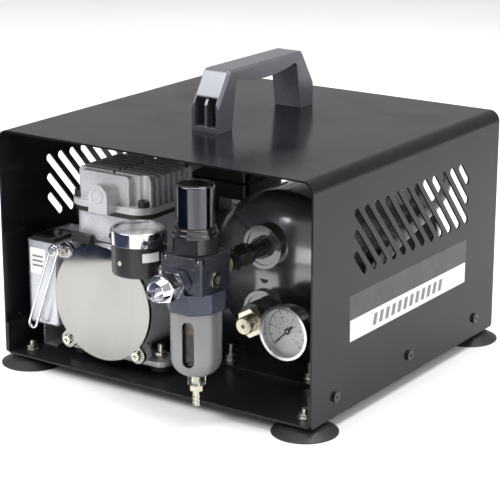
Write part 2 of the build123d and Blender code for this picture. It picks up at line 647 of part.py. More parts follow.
with BuildPart() as switch_frame:
    with BuildSketch(Plane.XY.offset(BOX_TOP)):
        with Locations((BOX_X, SWITCH_Y)):
            RectangleRounded(ROCKER_W + 9, ROCKER_L + 9, radius=2)
    extrude(amount=3, taper=20)
    with BuildSketch(Plane.XY.offset(BOX_TOP)):
        with Locations((BOX_X, SWITCH_Y)):
            Rectangle(ROCKER_W + 5, ROCKER_L + 5)
    extrude(amount=-14)
    with BuildSketch(Plane.XY.offset(BOX_TOP - 12)):
        with Locations((BOX_X, SWITCH_Y)):
            Rectangle(ROCKER_W + 2 * CLEAR, ROCKER_L + 2 * CLEAR + 0.8)
    extrude(amount=20, mode=Mode.SUBTRACT)
finish(switch_frame, "switch_frame")

ROCKER_Z = BOX_TOP - 2.0
with BuildPart() as rocker_switch:
    with BuildSketch(Plane.YZ.offset(BOX_X)):
        with Locations((SWITCH_Y, ROCKER_Z)):
            Circle(ROCKER_L / 2 - 0.2)
        with BuildLine():
            Polyline((SWITCH_Y - 20, ROCKER_Z - 5), (SWITCH_Y - 20, ROCKER_Z + 6.5), (SWITCH_Y, ROCKER_Z + 3.5),
                     (SWITCH_Y + 20, ROCKER_Z + 6.5), (SWITCH_Y + 20, ROCKER_Z - 5), close=True)
        make_face(mode=Mode.INTERSECT)
    extrude(amount=ROCKER_W / 2, both=True)
finish(rocker_switch, "rocker_switch")

with BuildPart() as cable_gland:
    with BuildSketch(facing_front(BOX_BACK)):
        with Locations((BOX_X, GLAND_Z)):
            hexagon(18)
    extrude(amount=-5)
    with BuildSketch(facing_front(BOX_BACK + 5)):
        with Locations((BOX_X, GLAND_Z)):
            Circle(7.5)
    extrude(amount=-9, taper=8)
    with BuildSketch(facing_front(BOX_BACK)):
        with Locations((BOX_X, GLAND_Z)):
            Circle(6)
    extrude(amount=2)
    with BuildSketch(facing_front(BOX_BACK + 20)):
        with Locations((BOX_X, GLAND_Z)):
            Circle(3.5)
    extrude(amount=30, mode=Mode.SUBTRACT)
finish(cable_gland, "cable_gland")

# Wire hanger for a spray gun: a long loop on a headed pin beside the upper left ear.
HANG_X, HANG_Z = -98.0, 91.0
HANG_PIN_R = 2.0
WIRE_R = 1.1
LOOP_IN = 2.6                        # inner radius of the loop's round ends
LOOP_LENGTH = 68.0
HANG_LEAN = 20.5                     # degrees to the left of straight down, at rest
WIRE_Y = PLATE_Y - CLIP_T - CLEAR - WIRE_R

with BuildPart() as hanger_clip:
    with BuildSketch(facing_front(PLATE_Y)):
        with Locations(((HANG_X + EARS[1][0]) / 2, HANG_Z)):
            SlotOverall(EARS[1][0] - HANG_X + 11, 9)
        with Locations(EARS[1]):
            Circle(SCREW_R, mode=Mode.SUBTRACT)
    extrude(amount=CLIP_T)
    with BuildSketch(facing_front(PLATE_Y - CLIP_T)):
        with Locations((HANG_X, HANG_Z)):
            Circle(HANG_PIN_R)
    extrude(amount=2 * WIRE_R + 2 * CLEAR)
    with BuildSketch(facing_front(PLATE_Y - CLIP_T - 2 * WIRE_R - 2 * CLEAR)):
        with Locations((HANG_X, HANG_Z)):
            Circle(3.8)
    extrude(amount=2.2)
    fillet(faces().sort_by(Axis.Y)[0].edges(), radius=1)
finish(hanger_clip, "hanger_clip")

with BuildPart() as hanger_wire:
    loop_plane = Plane(origin=(HANG_X, WIRE_Y, HANG_Z),
                       x_dir=(cos(radians(HANG_LEAN)), 0, -sin(radians(HANG_LEAN))),
                       z_dir=(0, -1, 0))
    bend = LOOP_IN + WIRE_R
    with BuildLine(loop_plane):
        left_run = Line((-bend, 0), (-bend, -LOOP_LENGTH))
        ThreePointArc((-bend, -LOOP_LENGTH), (0, -LOOP_LENGTH - bend), (bend, -LOOP_LENGTH))
        Line((bend, -LOOP_LENGTH), (bend, 0))
        ThreePointArc((bend, 0), (0, bend), (-bend, 0))
    with BuildSketch(Plane(origin=left_run @ 0, z_dir=left_run % 0)):
        Circle(WIRE_R)
    sweep()
finish(hanger_wire, "hanger_wire")

SENSOR_X, SENSOR_Y = -43.0, 34.0
with BuildPart() as pressure_switch:
    with BuildSketch(Plane.XY.offset(112.5)):
        with Locations((SENSOR_X, SENSOR_Y)):
            RectangleRounded(62, 54, radius=4)
    extrude(amount=13)
    with BuildSketch(Plane.XY.offset(125.5)):
        with Locations((SENSOR_X, SENSOR_Y)):
            RectangleRounded(56, 48, radius=3)
    extrude(amount=4.5)
    with BuildSketch(Plane.XY.offset(130)):
        with Locations((SENSOR_X, SENSOR_Y)):
            RectangleRounded(64, 56, radius=5)
    extrude(amount=20)
    fillet(edges().group_by(Axis.Z)[-1], radius=3)
    # bracket down to the top of the motor
    with BuildSketch(Plane.XY.offset(112.5)):
        with Locations((PUMP_X, 20)):
            Rectangle(24, 18)
    extrude(amount=-(112.5 - PUMP_Z - PUMP_R + 0.5))
    with BuildSketch(facing_front(80)):
        with Locations((PUMP_X, PUMP_Z)):
            Circle(PUMP_R)
    extrude(amount=120, mode=Mode.SUBTRACT)
finish(pressure_switch, "pressure_switch")

# ================================================================ tank
SHELL_T = 2.5
PORT_R = 6.0
BOSS_BACK = -57.0
KNUCKLE_R = 16.0
CROWN_R = ((TANK_R - KNUCKLE_R) ** 2 + DOME ** 2 - KNUCKLE_R ** 2) / (2 * (DOME - KNUCKLE_R))
LOW_PORT_Z, HIGH_PORT_Z = TANK_Z - PORT_OFF, TANK_Z + PORT_OFF


def tank_outline(inset):
    """Half section of the vessel: crowned ends that run into the wall through rounded knuckles."""
    crown = CROWN_R - inset
    lean = degrees(atan2(CROWN_R - DOME, TANK_R - KNUCKLE_R))
    for end, sign in ((TANK_BACK, 1), (TANK_FRONT, -1)):
        CenterArc((TANK_X, end + sign * (DOME - CROWN_R)), crown, sign * lean, sign * (90 - lean))
        CenterArc((TANK_X + TANK_R - KNUCKLE_R, end), KNUCKLE_R - inset, 0, sign * lean)
    Line((TANK_X + TANK_R - inset, TANK_FRONT), (TANK_X + TANK_R - inset, TANK_BACK))
    Line((TANK_X, TANK_FRONT - DOME + inset), (TANK_X, TANK_BACK + DOME - inset))


with BuildPart() as tank_shell:
    with BuildSketch(Plane.XY.offset(TANK_Z)):
        with BuildLine():
            tank_outline(0)
        make_face()
        with BuildLine():
            tank_outline(SHELL_T)
        make_face(mode=Mode.SUBTRACT)
    revolve(axis=Axis((TANK_X, 0, TANK_Z), (0, 1, 0)))
    for port_z in (LOW_PORT_Z, HIGH_PORT_Z):
        for port_back, port_front, port_r, port_mode in ((BOSS_BACK, PORT_FACE, 17, Mode.ADD),
                                                         (PORT_FACE + 1, PORT_FACE, 14, Mode.SUBTRACT),
                                                         (BOSS_BACK + 1, PORT_FACE, PORT_R, Mode.SUBTRACT)):
            with BuildSketch(facing_front(port_back)):
                with Locations((TANK_X, port_z)):
                    Circle(port_r)
            extrude(amount=port_back - port_front, mode=port_mode)
finish(tank_shell, "tank_shell")

with BuildPart() as tank_bracket:
    with BuildSketch(Plane.XY.offset(SHEET)):
        with Locations((TANK_X, 20)):
            Rectangle(94, 180)
    extrude(amount=TANK_PLATE_T)
    for saddle_y in (-26.0, 76.0):
        with BuildSketch(facing_front(saddle_y + 1)):
            with Locations((TANK_X, SHEET)):
                Rectangle(90, 26, align=(Align.CENTER, Align.MIN))
        extrude(amount=2)
    with BuildSketch(facing_front(110)):
        with Locations((TANK_X, TANK_Z)):
            Circle(TANK_R)
    extrude(amount=220, mode=Mode.SUBTRACT)
    with Locations(*[(x, y, SHEET + TANK_PLATE_T) for x, y in TANK_BOLTS]):
        Hole(radius=STUD_R, depth=TANK_PLATE_T)
finish(tank_bracket, "tank_bracket")

BLOCK_BACK, BLOCK_FRONT = -74.0, -88.0
BLOCK_LEFT, BLOCK_RIGHT, BLOCK_H = 48.0, 106.0, 24.0
VALVE_X = 63.2
DIAL_X = 96.4
with BuildPart() as tank_manifold:
    with BuildSketch(facing_front(BLOCK_BACK)):
        with Locations(((BLOCK_LEFT + BLOCK_RIGHT) / 2, LOW_PORT_Z)):
            RectangleRounded(BLOCK_RIGHT - BLOCK_LEFT, BLOCK_H, radius=BLOCK_H / 2 - 1)
    extrude(amount=BLOCK_BACK - BLOCK_FRONT)
    with BuildSketch(facing_front(BLOCK_BACK)):
        with Locations((TANK_X, LOW_PORT_Z)):
            Circle(9)
    extrude(amount=-(PORT_FACE + 1 - BLOCK_BACK))
    with BuildSketch(facing_front(PORT_FACE + 1)):
        with Locations((TANK_X, LOW_PORT_Z)):
            Circle(PORT_R)
    extrude(amount=-8)
    with BuildSketch(facing_front(BLOCK_FRONT)):
        with Locations((VALVE_X, LOW_PORT_Z), (DIAL_X, LOW_PORT_Z)):
            Circle(5)
    extrude(amount=-9, mode=Mode.SUBTRACT)
finish(tank_manifold, "tank_manifold")

VALVE_FACE = -106.5
VALVE_LIFT = 2.0
with BuildPart() as safety_valve_body:
    with BuildSketch(facing_front(BLOCK_FRONT)):
        with Locations((VALVE_X, LOW_PORT_Z)):
            Circle(5)
    extrude(amount=-9)
    with BuildSketch(facing_front(BLOCK_FRONT)):
        with Locations((VALVE_X, LOW_PORT_Z)):
            hexagon(20, rotation=30)
    extrude(amount=10)
    with BuildSketch(facing_front(VALVE_FACE + 14)):
        with Locations((VALVE_X, LOW_PORT_Z)):
            Circle(3)
    extrude(amount=20, mode=Mode.SUBTRACT)
finish(safety_valve_body, "safety_valve_body")

with BuildPart() as safety_valve_cap:
    with BuildSketch(facing_front(BLOCK_FRONT - 10 - CLEAR)):
        with Locations((VALVE_X, LOW_PORT_Z)):
            Circle(6.8)
    extrude(amount=BLOCK_FRONT - 10 - CLEAR - VALVE_FACE)
    fillet(faces().sort_by(Axis.Y)[0].edges(), radius=1)
    with BuildSketch(facing_front(VALVE_FACE)):
        with Locations((VALVE_X, LOW_PORT_Z)):
            Circle(1.6)
    extrude(amount=-3, mode=Mode.SUBTRACT)
    with BuildSketch(facing_front(BLOCK_FRONT - 10 - CLEAR)):
        with Locations((VALVE_X, LOW_PORT_Z)):
            Circle(3 - 2 * FIT)
    extrude(amount=-5)
finish(safety_valve_cap, "safety_valve_cap")

# ---------------------------------------------------------------- pressure gauges
GAUGE_R = 21.0
DIAL_R = 18.2
NEEDLE_ZERO = 225.0                 # direction of the resting needle, from the dial's right


def gauge_case(face, depth, bezel_depth, case_r):
    """Cup-shaped case behind the face plane, with its bezel ring around the open front."""
    with BuildSketch(face.offset(-depth)) as back:
        Circle(case_r)
    extrude(back.sketch, amount=depth - bezel_depth)
    with BuildSketch(face.offset(-bezel_depth)) as ring:
        Circle(GAUGE_R)
    extrude(ring.sketch, amount=bezel_depth)
    with BuildSketch(face.offset(-bezel_depth + 1)) as hollow:
        Circle(DIAL_R + 0.5)
    extrude(hollow.sketch, amount=bezel_depth, mode=Mode.SUBTRACT)


def gauge_dial(face, bezel_depth):
    with BuildSketch(face.offset(-bezel_depth + 1)) as disc:
        Circle(DIAL_R + 0.5)
    extrude(disc.sketch, amount=0.8)
    with BuildSketch(face.offset(-bezel_depth + 1.8)) as spindle:
        Circle(1)
    extrude(spindle.sketch, amount=1)


def gauge_needle(face, bezel_depth):
    with BuildSketch(face.offset(-bezel_depth + 2.3)) as pointer:
        Circle(2.4)
        with Locations(Location((0, 0), NEEDLE_ZERO)):
            Rectangle(DIAL_R - 4, 1.0, align=(Align.MIN, Align.CENTER))
            Rectangle(6, 1.8, align=(Align.MAX, Align.CENTER))
        Circle(1 + FIT, mode=Mode.SUBTRACT)
    extrude(pointer.sketch, amount=0.6)


def gauge_lens(face):
    with BuildSketch(face.offset(-2.4)) as glass:
        Circle(DIAL_R + 0.5)
    extrude(glass.sketch, amount=1.4)


TANK_GAUGE = Plane(origin=(DIAL_X, -103.0, LOW_PORT_Z), x_dir=(1, 0, 0), z_dir=(0, -1, 0))
TANK_BEZEL = 9.0
with BuildPart() as tank_gauge_case:
    gauge_case(TANK_GAUGE, 13, TANK_BEZEL, GAUGE_R - 1.5)
    with BuildSketch(facing_front(TANK_GAUGE.origin.Y + 13)):
        with Locations((DIAL_X, LOW_PORT_Z)):
            Circle(5)
    extrude(amount=-10)
finish(tank_gauge_case, "tank_gauge_case")

with BuildPart() as tank_gauge_dial:
    gauge_dial(TANK_GAUGE, TANK_BEZEL)
finish(tank_gauge_dial, "tank_gauge_dial")

with BuildPart() as tank_gauge_needle:
    gauge_needle(TANK_GAUGE, TANK_BEZEL)
finish(tank_gauge_needle, "tank_gauge_needle")

with BuildPart() as tank_gauge_lens:
    gauge_lens(TANK_GAUGE)
finish(tank_gauge_lens, "tank_gauge_lens")

# ================================================================ filter and pressure regulator
BODY_LOW, BODY_TOP = 96.0, 115.0
BONNET_TOP = 123.0
NUT_TOP, COLLAR_TOP = 135.5, 142.5
KNOB_R = 14.0
KNOB_LOW, KNOB_TOP = COLLAR_TOP + CLEAR, 173.0
KNOB_LIFT = 3.5
REG_BACK, REG_FRONT = REG_Y + REG_W / 2, REG_Y - REG_W / 2
SCREW_OFF = 14.4
RECESS = 3.0                        # depth of the bowl's seat in the body


def on_regulator():
    return Locations((REG_X, REG_Y))


with BuildPart() as regulator_body:
    with BuildSketch(Plane.XY.offset(BODY_LOW)):
        with on_regulator():
            RectangleRounded(REG_W, REG_W, radius=1.5)
    extrude(amount=BODY_TOP - BODY_LOW)
    with BuildSketch(facing_front(REG_BACK + 6)):
        with Locations((REG_X, (BODY_LOW + BODY_TOP) / 2)):
            RectangleRounded(24, 17, radius=3)
    extrude(amount=10)
    for port in (Plane(origin=(REG_X, REG_FRONT, HIGH_PORT_Z), z_dir=(0, -1, 0)),
                 Plane(origin=(REG_X, REG_BACK + 6, HIGH_PORT_Z), z_dir=(0, 1, 0)),
                 Plane(origin=(REG_X - REG_W / 2, REG_Y, HIGH_PORT_Z), z_dir=(-1, 0, 0)),
                 Plane(origin=(REG_X + REG_W / 2, REG_Y, HIGH_PORT_Z), z_dir=(1, 0, 0))):
        with BuildSketch(port):
            Circle(4.8)
        extrude(amount=-9, mode=Mode.SUBTRACT)
    with BuildSketch(Plane.XY.offset(BODY_LOW)):
        with on_regulator():
            Circle(15)
    extrude(amount=RECESS, mode=Mode.SUBTRACT)
finish(regulator_body, "regulator_body")

with BuildPart() as regulator_bonnet:
    with BuildSketch(Plane.XY.offset(BODY_TOP)):
        with on_regulator():
            RectangleRounded(REG_W, REG_W, radius=1.5)
    extrude(amount=BONNET_TOP - BODY_TOP)
    with BuildSketch(Plane.XY.offset(BONNET_TOP)):
        with on_regulator():
            with GridLocations(2 * SCREW_OFF, 2 * SCREW_OFF, 2, 2):
                Circle(3.8)
    extrude(amount=-4, mode=Mode.SUBTRACT)
    with BuildSketch(Plane.XY.offset(BODY_TOP)):
        with on_regulator():
            Circle(9)
            with GridLocations(2 * SCREW_OFF, 2 * SCREW_OFF, 2, 2):
                Circle(1.4)
    extrude(amount=10, mode=Mode.SUBTRACT)
finish(regulator_bonnet, "regulator_bonnet")

with BuildPart() as bonnet_screws:
    with BuildSketch(Plane.XY.offset(BONNET_TOP - 4)):
        with on_regulator():
            with GridLocations(2 * SCREW_OFF, 2 * SCREW_OFF, 2, 2):
                Circle(2.9)
    extrude(amount=2.6)
    fillet(edges().group_by(Axis.Z)[-1], radius=1)
    with BuildSketch(Plane.XY.offset(BONNET_TOP - 2.2)):
        with on_regulator():
            with GridLocations(2 * SCREW_OFF, 2 * SCREW_OFF, 2, 2):
                Rectangle(3.2, 0.8)
                Rectangle(0.8, 3.2)
    extrude(amount=2, mode=Mode.SUBTRACT)
    with BuildSketch(Plane.XY.offset(BONNET_TOP - 4)):
        with on_regulator():
            with GridLocations(2 * SCREW_OFF, 2 * SCREW_OFF, 2, 2):
                Circle(1.4)
    extrude(amount=-(BONNET_TOP - 4 - BODY_TOP))
finish(bonnet_screws, "bonnet_screws")

SPINDLE_R = 5.0
with BuildPart() as bonnet_nut:
    with BuildSketch(Plane.XY.offset(BONNET_TOP)):
        with on_regulator():
            hexagon(31, rotation=12)
    extrude(amount=NUT_TOP - BONNET_TOP)
    for ring_low, ring_r in ((NUT_TOP, 17.0), (NUT_TOP + 3.5, 15.5)):
        with BuildSketch(Plane.XY.offset(ring_low)):
            with on_regulator():
                Circle(ring_r)
        extrude(amount=3)
        fillet(edges().group_by(Axis.Z)[-1], radius=1.2)
        with BuildSketch(Plane.XY.offset(ring_low + 3)):
            with on_regulator():
                Circle(ring_r - 1.5)
        extrude(amount=0.5)
    with BuildSketch(Plane.XY.offset(BONNET_TOP)):
        with on_regulator():
            Circle(SPINDLE_R + FIT)
    extrude(amount=30, mode=Mode.SUBTRACT)
finish(bonnet_nut, "bonnet_nut")

# The knob lifts off a lock before it turns the spindle, so the spindle turns and carries it.
with BuildPart() as regulator_spindle:
    with BuildSketch(Plane.XY.offset(BONNET_TOP - 6)):
        with on_regulator():
            Circle(SPINDLE_R)
    extrude(amount=KNOB_TOP - 10 - BONNET_TOP + 6)
finish(regulator_spindle, "regulator_spindle")

with BuildPart() as regulator_knob:
    with BuildSketch(Plane.XY.offset(KNOB_LOW)):
        with on_regulator():
            Circle(KNOB_R)
    extrude(amount=KNOB_TOP - KNOB_LOW)
    fillet(edges().group_by(Axis.Z)[-1], radius=1.2)
    with BuildSketch(Plane.XY.offset(KNOB_TOP)):
        with on_regulator():
            Circle(KNOB_R - 2.5)
            Circle(KNOB_R - 3.5, mode=Mode.SUBTRACT)
    extrude(amount=-0.8, mode=Mode.SUBTRACT)
    with BuildSketch(Plane.XY.offset(KNOB_LOW)):
        with on_regulator():
            Circle(SPINDLE_R + FIT)
    extrude(amount=KNOB_TOP - 9 - KNOB_LOW, mode=Mode.SUBTRACT)
finish(regulator_knob, "regulator_knob")

BOWL_LOW = 29.5
GUARD_TOP = 80.0
GUARD_R = 18.8
GUARD_CORNER = 14.0
BOWL_R = 16.0
COLLAR_FLATS = 20.3
ELEMENT_LOW, ELEMENT_TOP = 65.0, 89.0
SIGHT_TURN = 17.0                   # degrees that the sight slots stand off the Y axis
SIGHT_W, SIGHT_LOW, SIGHT_TOP = 9.2, 40.0, 75.0
DRAIN_R = 3.0

with BuildPart() as bowl_collar:
    with BuildSketch(Plane.XY.offset(GUARD_TOP)):
        with on_regulator():
            RegularPolygon(radius=COLLAR_FLATS, side_count=8, major_radius=False, rotation=22.5)
            Circle(BOWL_R + CLEAR, mode=Mode.SUBTRACT)
    extrude(amount=BODY_LOW - CLEAR - GUARD_TOP)
    chamfer(edges().group_by(Axis.Z)[0].filter_by(GeomType.LINE), length=1.5)
finish(bowl_collar, "bowl_collar")


def cup(low, high, radius, corner):
    """A plain round bar on the regulator's centre line, its lower end rounded."""
    with BuildPart() as bar:
        with BuildSketch(Plane.XY.offset(low)) as disc:
            with on_regulator():
                Circle(radius)
        extrude(disc.sketch, amount=high - low)
        fillet(bar.edges().group_by(Axis.Z)[0], radius=corner)
    return bar.part


with BuildPart() as bowl_guard:
    add(cup(BOWL_LOW, GUARD_TOP, GUARD_R, GUARD_CORNER))
    add(cup(BOWL_LOW + 1.8, GUARD_TOP + 5, GUARD_R - 1.8, GUARD_CORNER - 1.5), mode=Mode.SUBTRACT)
    with BuildSketch(Plane(origin=(REG_X, REG_Y, (SIGHT_LOW + SIGHT_TOP) / 2),
                           z_dir=(sin(radians(SIGHT_TURN)), -cos(radians(SIGHT_TURN)), 0),
                           x_dir=(cos(radians(SIGHT_TURN)), sin(radians(SIGHT_TURN)), 0))):
        SlotOverall(SIGHT_TOP - SIGHT_LOW, SIGHT_W, rotation=90)
    extrude(amount=30, both=True, mode=Mode.SUBTRACT)
    with BuildSketch(Plane.XY.offset(BOWL_LOW)):
        with on_regulator():
            Circle(7)
    extrude(amount=5, mode=Mode.SUBTRACT)
finish(bowl_guard, "bowl_guard")

with BuildPart() as filter_bowl:
    add(cup(BOWL_LOW + 3, BODY_LOW - CLEAR, BOWL_R, GUARD_CORNER - 2))
    add(cup(BOWL_LOW + 5, BODY_LOW + 5, BOWL_R - 2, GUARD_CORNER - 3.5), mode=Mode.SUBTRACT)
    with BuildSketch(Plane.XY.offset(22)):
        with on_regulator():
            Circle(6.8)
            Circle(DRAIN_R + FIT, mode=Mode.SUBTRACT)
    extrude(amount=BOWL_LOW + 4 - 22)
    with BuildSketch(Plane.XY.offset(22)):
        with on_regulator():
            Circle(DRAIN_R + FIT)
    extrude(amount=14, mode=Mode.SUBTRACT)
finish(filter_bowl, "filter_bowl")

with BuildPart() as filter_element:
    for low, high, outer_r, inner_r in ((ELEMENT_LOW - 2, ELEMENT_LOW, 9, 0),
                                        (ELEMENT_LOW, ELEMENT_TOP, 9, 6),
                                        (ELEMENT_TOP, BODY_LOW + RECESS, 10, 4)):
        with BuildSketch(Plane.XY.offset(low)):
            with on_regulator():
                Circle(outer_r)
                if inner_r:
                    Circle(inner_r, mode=Mode.SUBTRACT)
        extrude(amount=high - low)
finish(filter_element, "filter_element")

with BuildPart() as drain_valve:
    with BuildSketch(Plane.XY.offset(22 - CLEAR)):
        with on_regulator():
            hexagon(9)
    extrude(amount=-4.7)
    with BuildSketch(Plane.XY.offset(30)):
        with on_regulator():
            Circle(DRAIN_R)
    extrude(amount=-(30 - 5.3))
    for barb in range(3):
        with BuildSketch(Plane.XY.offset(6 + 3 * barb)):
            with on_regulator():
                Circle(3.4)
        extrude(amount=1.6, taper=18)
    with BuildSketch(Plane.XY.offset(0)):
        with on_regulator():
            Circle(1.3)
    extrude(amount=28, mode=Mode.SUBTRACT)
finish(drain_valve, "drain_valve")

HOSE_R = 4.0
FERRULE_R = 5.5
OUTLET = Vector(-36, -59.6, 146)           # back of the head's last fin
ELBOW = Vector(113, -81, LOW_PORT_Z)       # where the hose's last run meets the manifold's axis
LAST_BEND = Vector(131, -46, 84)
RUN_UP = (LAST_BEND - ELBOW).normalized()
HOSE_START = OUTLET + Vector(0, 10, 0)
HOSE_END = ELBOW + RUN_UP * 10
UNION_FRONT, UNION_BACK = -109.5, -97.0
with BuildPart() as pipe_fittings:
    # blanking plug in the right-hand port
    with BuildSketch(Plane(origin=(REG_X + REG_W / 2, REG_Y, HIGH_PORT_Z), z_dir=(1, 0, 0))) as plug:
        Circle(6.2)
    extrude(amount=1.2)
    with BuildSketch(plug.workplanes[0]):
        Circle(4.8)
    extrude(amount=-9)
    with BuildSketch(plug.workplanes[0]):
        hexagon(5)
    extrude(amount=5, both=True, mode=Mode.SUBTRACT)
    # stem that carries the small gauge from the left-hand port
    with BuildSketch(Plane.YZ.offset(REG_X - REG_W / 2 - 9.2)):
        with Locations((REG_Y, HIGH_PORT_Z)):
            hexagon(11, rotation=30)
    extrude(amount=9.2)
    with BuildSketch(Plane.YZ.offset(GAUGE_X + GAUGE_R - 2.5)):
        with Locations((REG_Y, HIGH_PORT_Z)):
            Circle(4.8)
    extrude(amount=REG_X - REG_W / 2 + 9 - GAUGE_X - GAUGE_R + 2.5)
    # hexagon union in the inlet pipe
    with BuildSketch(facing_front(UNION_BACK)):
        with Locations((REG_X, HIGH_PORT_Z)):
            hexagon(17, rotation=30)
    extrude(amount=UNION_BACK - UNION_FRONT)
    # hose tail on the head's outlet: hexagon, then the ferrule that grips the hose
    tail = Plane(origin=OUTLET, z_dir=(0, 1, 0))
    with BuildSketch(tail):
        hexagon(13)
    extrude(amount=6)
    with BuildSketch(tail.offset(6)):
        Circle(FERRULE_R)
    extrude(amount=12)
    with BuildSketch(tail.offset(10)):
        Circle(HOSE_R)
    extrude(amount=10, mode=Mode.SUBTRACT)
    # elbow between the manifold's right-hand end and the hose's other end
    with BuildSketch(Plane.YZ.offset(BLOCK_RIGHT)):
        with Locations((ELBOW.Y, ELBOW.Z)):
            Circle(5)
    extrude(amount=ELBOW.X - BLOCK_RIGHT)
    with Locations(ELBOW):
        Sphere(5)
    rise = Plane(origin=ELBOW, z_dir=RUN_UP)
    with BuildSketch(rise):
        Circle(5)
    extrude(amount=8)
    with BuildSketch(rise.offset(8)):
        Circle(FERRULE_R)
    extrude(amount=12)
    with BuildSketch(rise.offset(10)):
        Circle(HOSE_R)
    extrude(amount=12, mode=Mode.SUBTRACT)
finish(pipe_fittings, "pipe_fittings")

with BuildPart() as inlet_pipe:
    for pipe_back, pipe_front, pipe_r in ((REG_BACK + 6, REG_BACK - 3, 4.8),
                                          (REG_BACK + 18, REG_BACK + 6, 7.5),
                                          (UNION_FRONT - 4, REG_BACK + 18, 6.5),
                                          (UNION_FRONT, UNION_FRONT - 4, 9.0),
                                          (UNION_BACK + 4, UNION_BACK, 9.0),
                                          (PORT_FACE - 3, UNION_BACK + 4, 6.5),
                                          (PORT_FACE + 1, PORT_FACE - 3, 8.5),
                                          (PORT_FACE + 8, PORT_FACE + 1, PORT_R)):
        with BuildSketch(facing_front(pipe_back)):
            with Locations((REG_X, HIGH_PORT_Z)):
                Circle(pipe_r)
        extrude(amount=pipe_back - pipe_front)
finish(inlet_pipe, "inlet_pipe")

SLEEVE_BACK, SLEEVE_FRONT = REG_FRONT - 13.5, REG_FRONT - 30.0
SLEEVE_TRAVEL = 3.0
NIPPLE_R = 3.0
with BuildPart() as outlet_adapter:
    with BuildSketch(facing_front(REG_FRONT - 1)):
        with Locations((REG_X, HIGH_PORT_Z)):
            hexagon(17.6)
    extrude(amount=9)
    for back, front, radius in ((REG_FRONT + 9, REG_FRONT - 1, 4.8), (REG_FRONT - 10, REG_FRONT - 29, 7.0),
                                (REG_FRONT - 29, -FRONT_REACH, NIPPLE_R)):
        with BuildSketch(facing_front(back)):
            with Locations((REG_X, HIGH_PORT_Z)):
                Circle(radius)
        extrude(amount=back - front)
    with BuildSketch(facing_front(REG_FRONT - 8)):
        with Locations((REG_X, HIGH_PORT_Z)):
            Circle(1.5)
    extrude(amount=40, mode=Mode.SUBTRACT)
finish(outlet_adapter, "outlet_adapter")

with BuildPart() as outlet_coupling:
    with BuildSketch(facing_front(SLEEVE_BACK)):
        with Locations((REG_X, HIGH_PORT_Z)):
            hexagon(19, rotation=12)
    extrude(amount=9)
    with BuildSketch(facing_front(SLEEVE_BACK - 9)):
        with Locations((REG_X, HIGH_PORT_Z)):
            Circle(9)
    extrude(amount=SLEEVE_BACK - 9 - SLEEVE_FRONT, taper=14)
    with BuildSketch(facing_front(SLEEVE_BACK)):
        with Locations((REG_X, HIGH_PORT_Z)):
            Circle(7 + FIT)
    extrude(amount=30, mode=Mode.SUBTRACT)
finish(outlet_coupling, "outlet_coupling")

REG_GAUGE = Plane(origin=(GAUGE_X, REG_Y, 132.4), x_dir=(1, 0, 0), z_dir=(0, 0, 1))
REG_BEZEL, REG_CASE_T = 10.5, 34.0
with BuildPart() as regulator_gauge_case:
    with BuildSketch(REG_GAUGE.offset(-REG_CASE_T)):
        Circle(GAUGE_R - 0.6)
    extrude(amount=REG_CASE_T - REG_BEZEL - CLEAR / 3)
    fillet(edges().group_by(Axis.Z)[0], radius=2)
    with BuildSketch(Plane.YZ.offset(GAUGE_X + GAUGE_R - 2.5)):
        with Locations((REG_Y, HIGH_PORT_Z)):
            Rectangle(13, 13)
    extrude(amount=10, mode=Mode.SUBTRACT)
finish(regulator_gauge_case, "regulator_gauge_case")

with BuildPart() as regulator_gauge_bezel:
    with BuildSketch(REG_GAUGE.offset(-REG_BEZEL)):
        Circle(GAUGE_R)
    extrude(amount=REG_BEZEL)
    fillet(edges().group_by(Axis.Z)[-1], radius=0.8)
    with BuildSketch(REG_GAUGE.offset(-REG_BEZEL + 1)):
        Circle(DIAL_R + 0.5)
    extrude(amount=REG_BEZEL, mode=Mode.SUBTRACT)
finish(regulator_gauge_bezel, "regulator_gauge_bezel")

with BuildPart() as regulator_gauge_dial:
    gauge_dial(REG_GAUGE, REG_BEZEL)
finish(regulator_gauge_dial, "regulator_gauge_dial")

with BuildPart() as regulator_gauge_needle:
    gauge_needle(REG_GAUGE, REG_BEZEL)
finish(regulator_gauge_needle, "regulator_gauge_needle")

with BuildPart() as regulator_gauge_lens:
    gauge_lens(REG_GAUGE)
finish(regulator_gauge_lens, "regulator_gauge_lens")

# ================================================================ delivery hose
HOSE_ROUTE = [HOSE_START, (-36, -20, 146), (-34, 14, 160), (-30, 50, 163), (-2, 92, 160), (52, 120, 152),
              (104, 122, 140), (130, 84, 126), (133, 36, 114), (132.5, -8, 102), LAST_BEND, HOSE_END]


def corner_radii(route):
    """Largest tangent arcs that each corner's two runs leave room for."""
    radii = []
    for before, corner, after in zip(route, route[1:], route[2:]):
        run_in = Vector(corner) - Vector(before)
        run_out = Vector(after) - Vector(corner)
        half_turn = radians(run_in.get_angle(run_out)) / 2
        radii.append(0.45 * min(run_in.length, run_out.length) / tan(half_turn))
    return radii


with BuildPart() as delivery_hose:
    with BuildLine():
        route = FilletPolyline(*HOSE_ROUTE, radius=corner_radii(HOSE_ROUTE))
    with BuildSketch(Plane(origin=route @ 0, z_dir=route % 0)):
        Circle(HOSE_R)
    sweep()
print("hose", round(route.length), "mm, radii", [round(r) for r in corner_radii(HOSE_ROUTE)],
      "volume ratio", round(delivery_hose.part.volume / (route.length * 3.14159 * HOSE_R ** 2), 4))
finish(delivery_hose, "delivery_hose")
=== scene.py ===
"""Looks, labels, hose, studio and camera for the airbrush compressor."""

from math import cos, pi, radians, sin

import bmesh
import bpy
from mathutils import Matrix, Vector


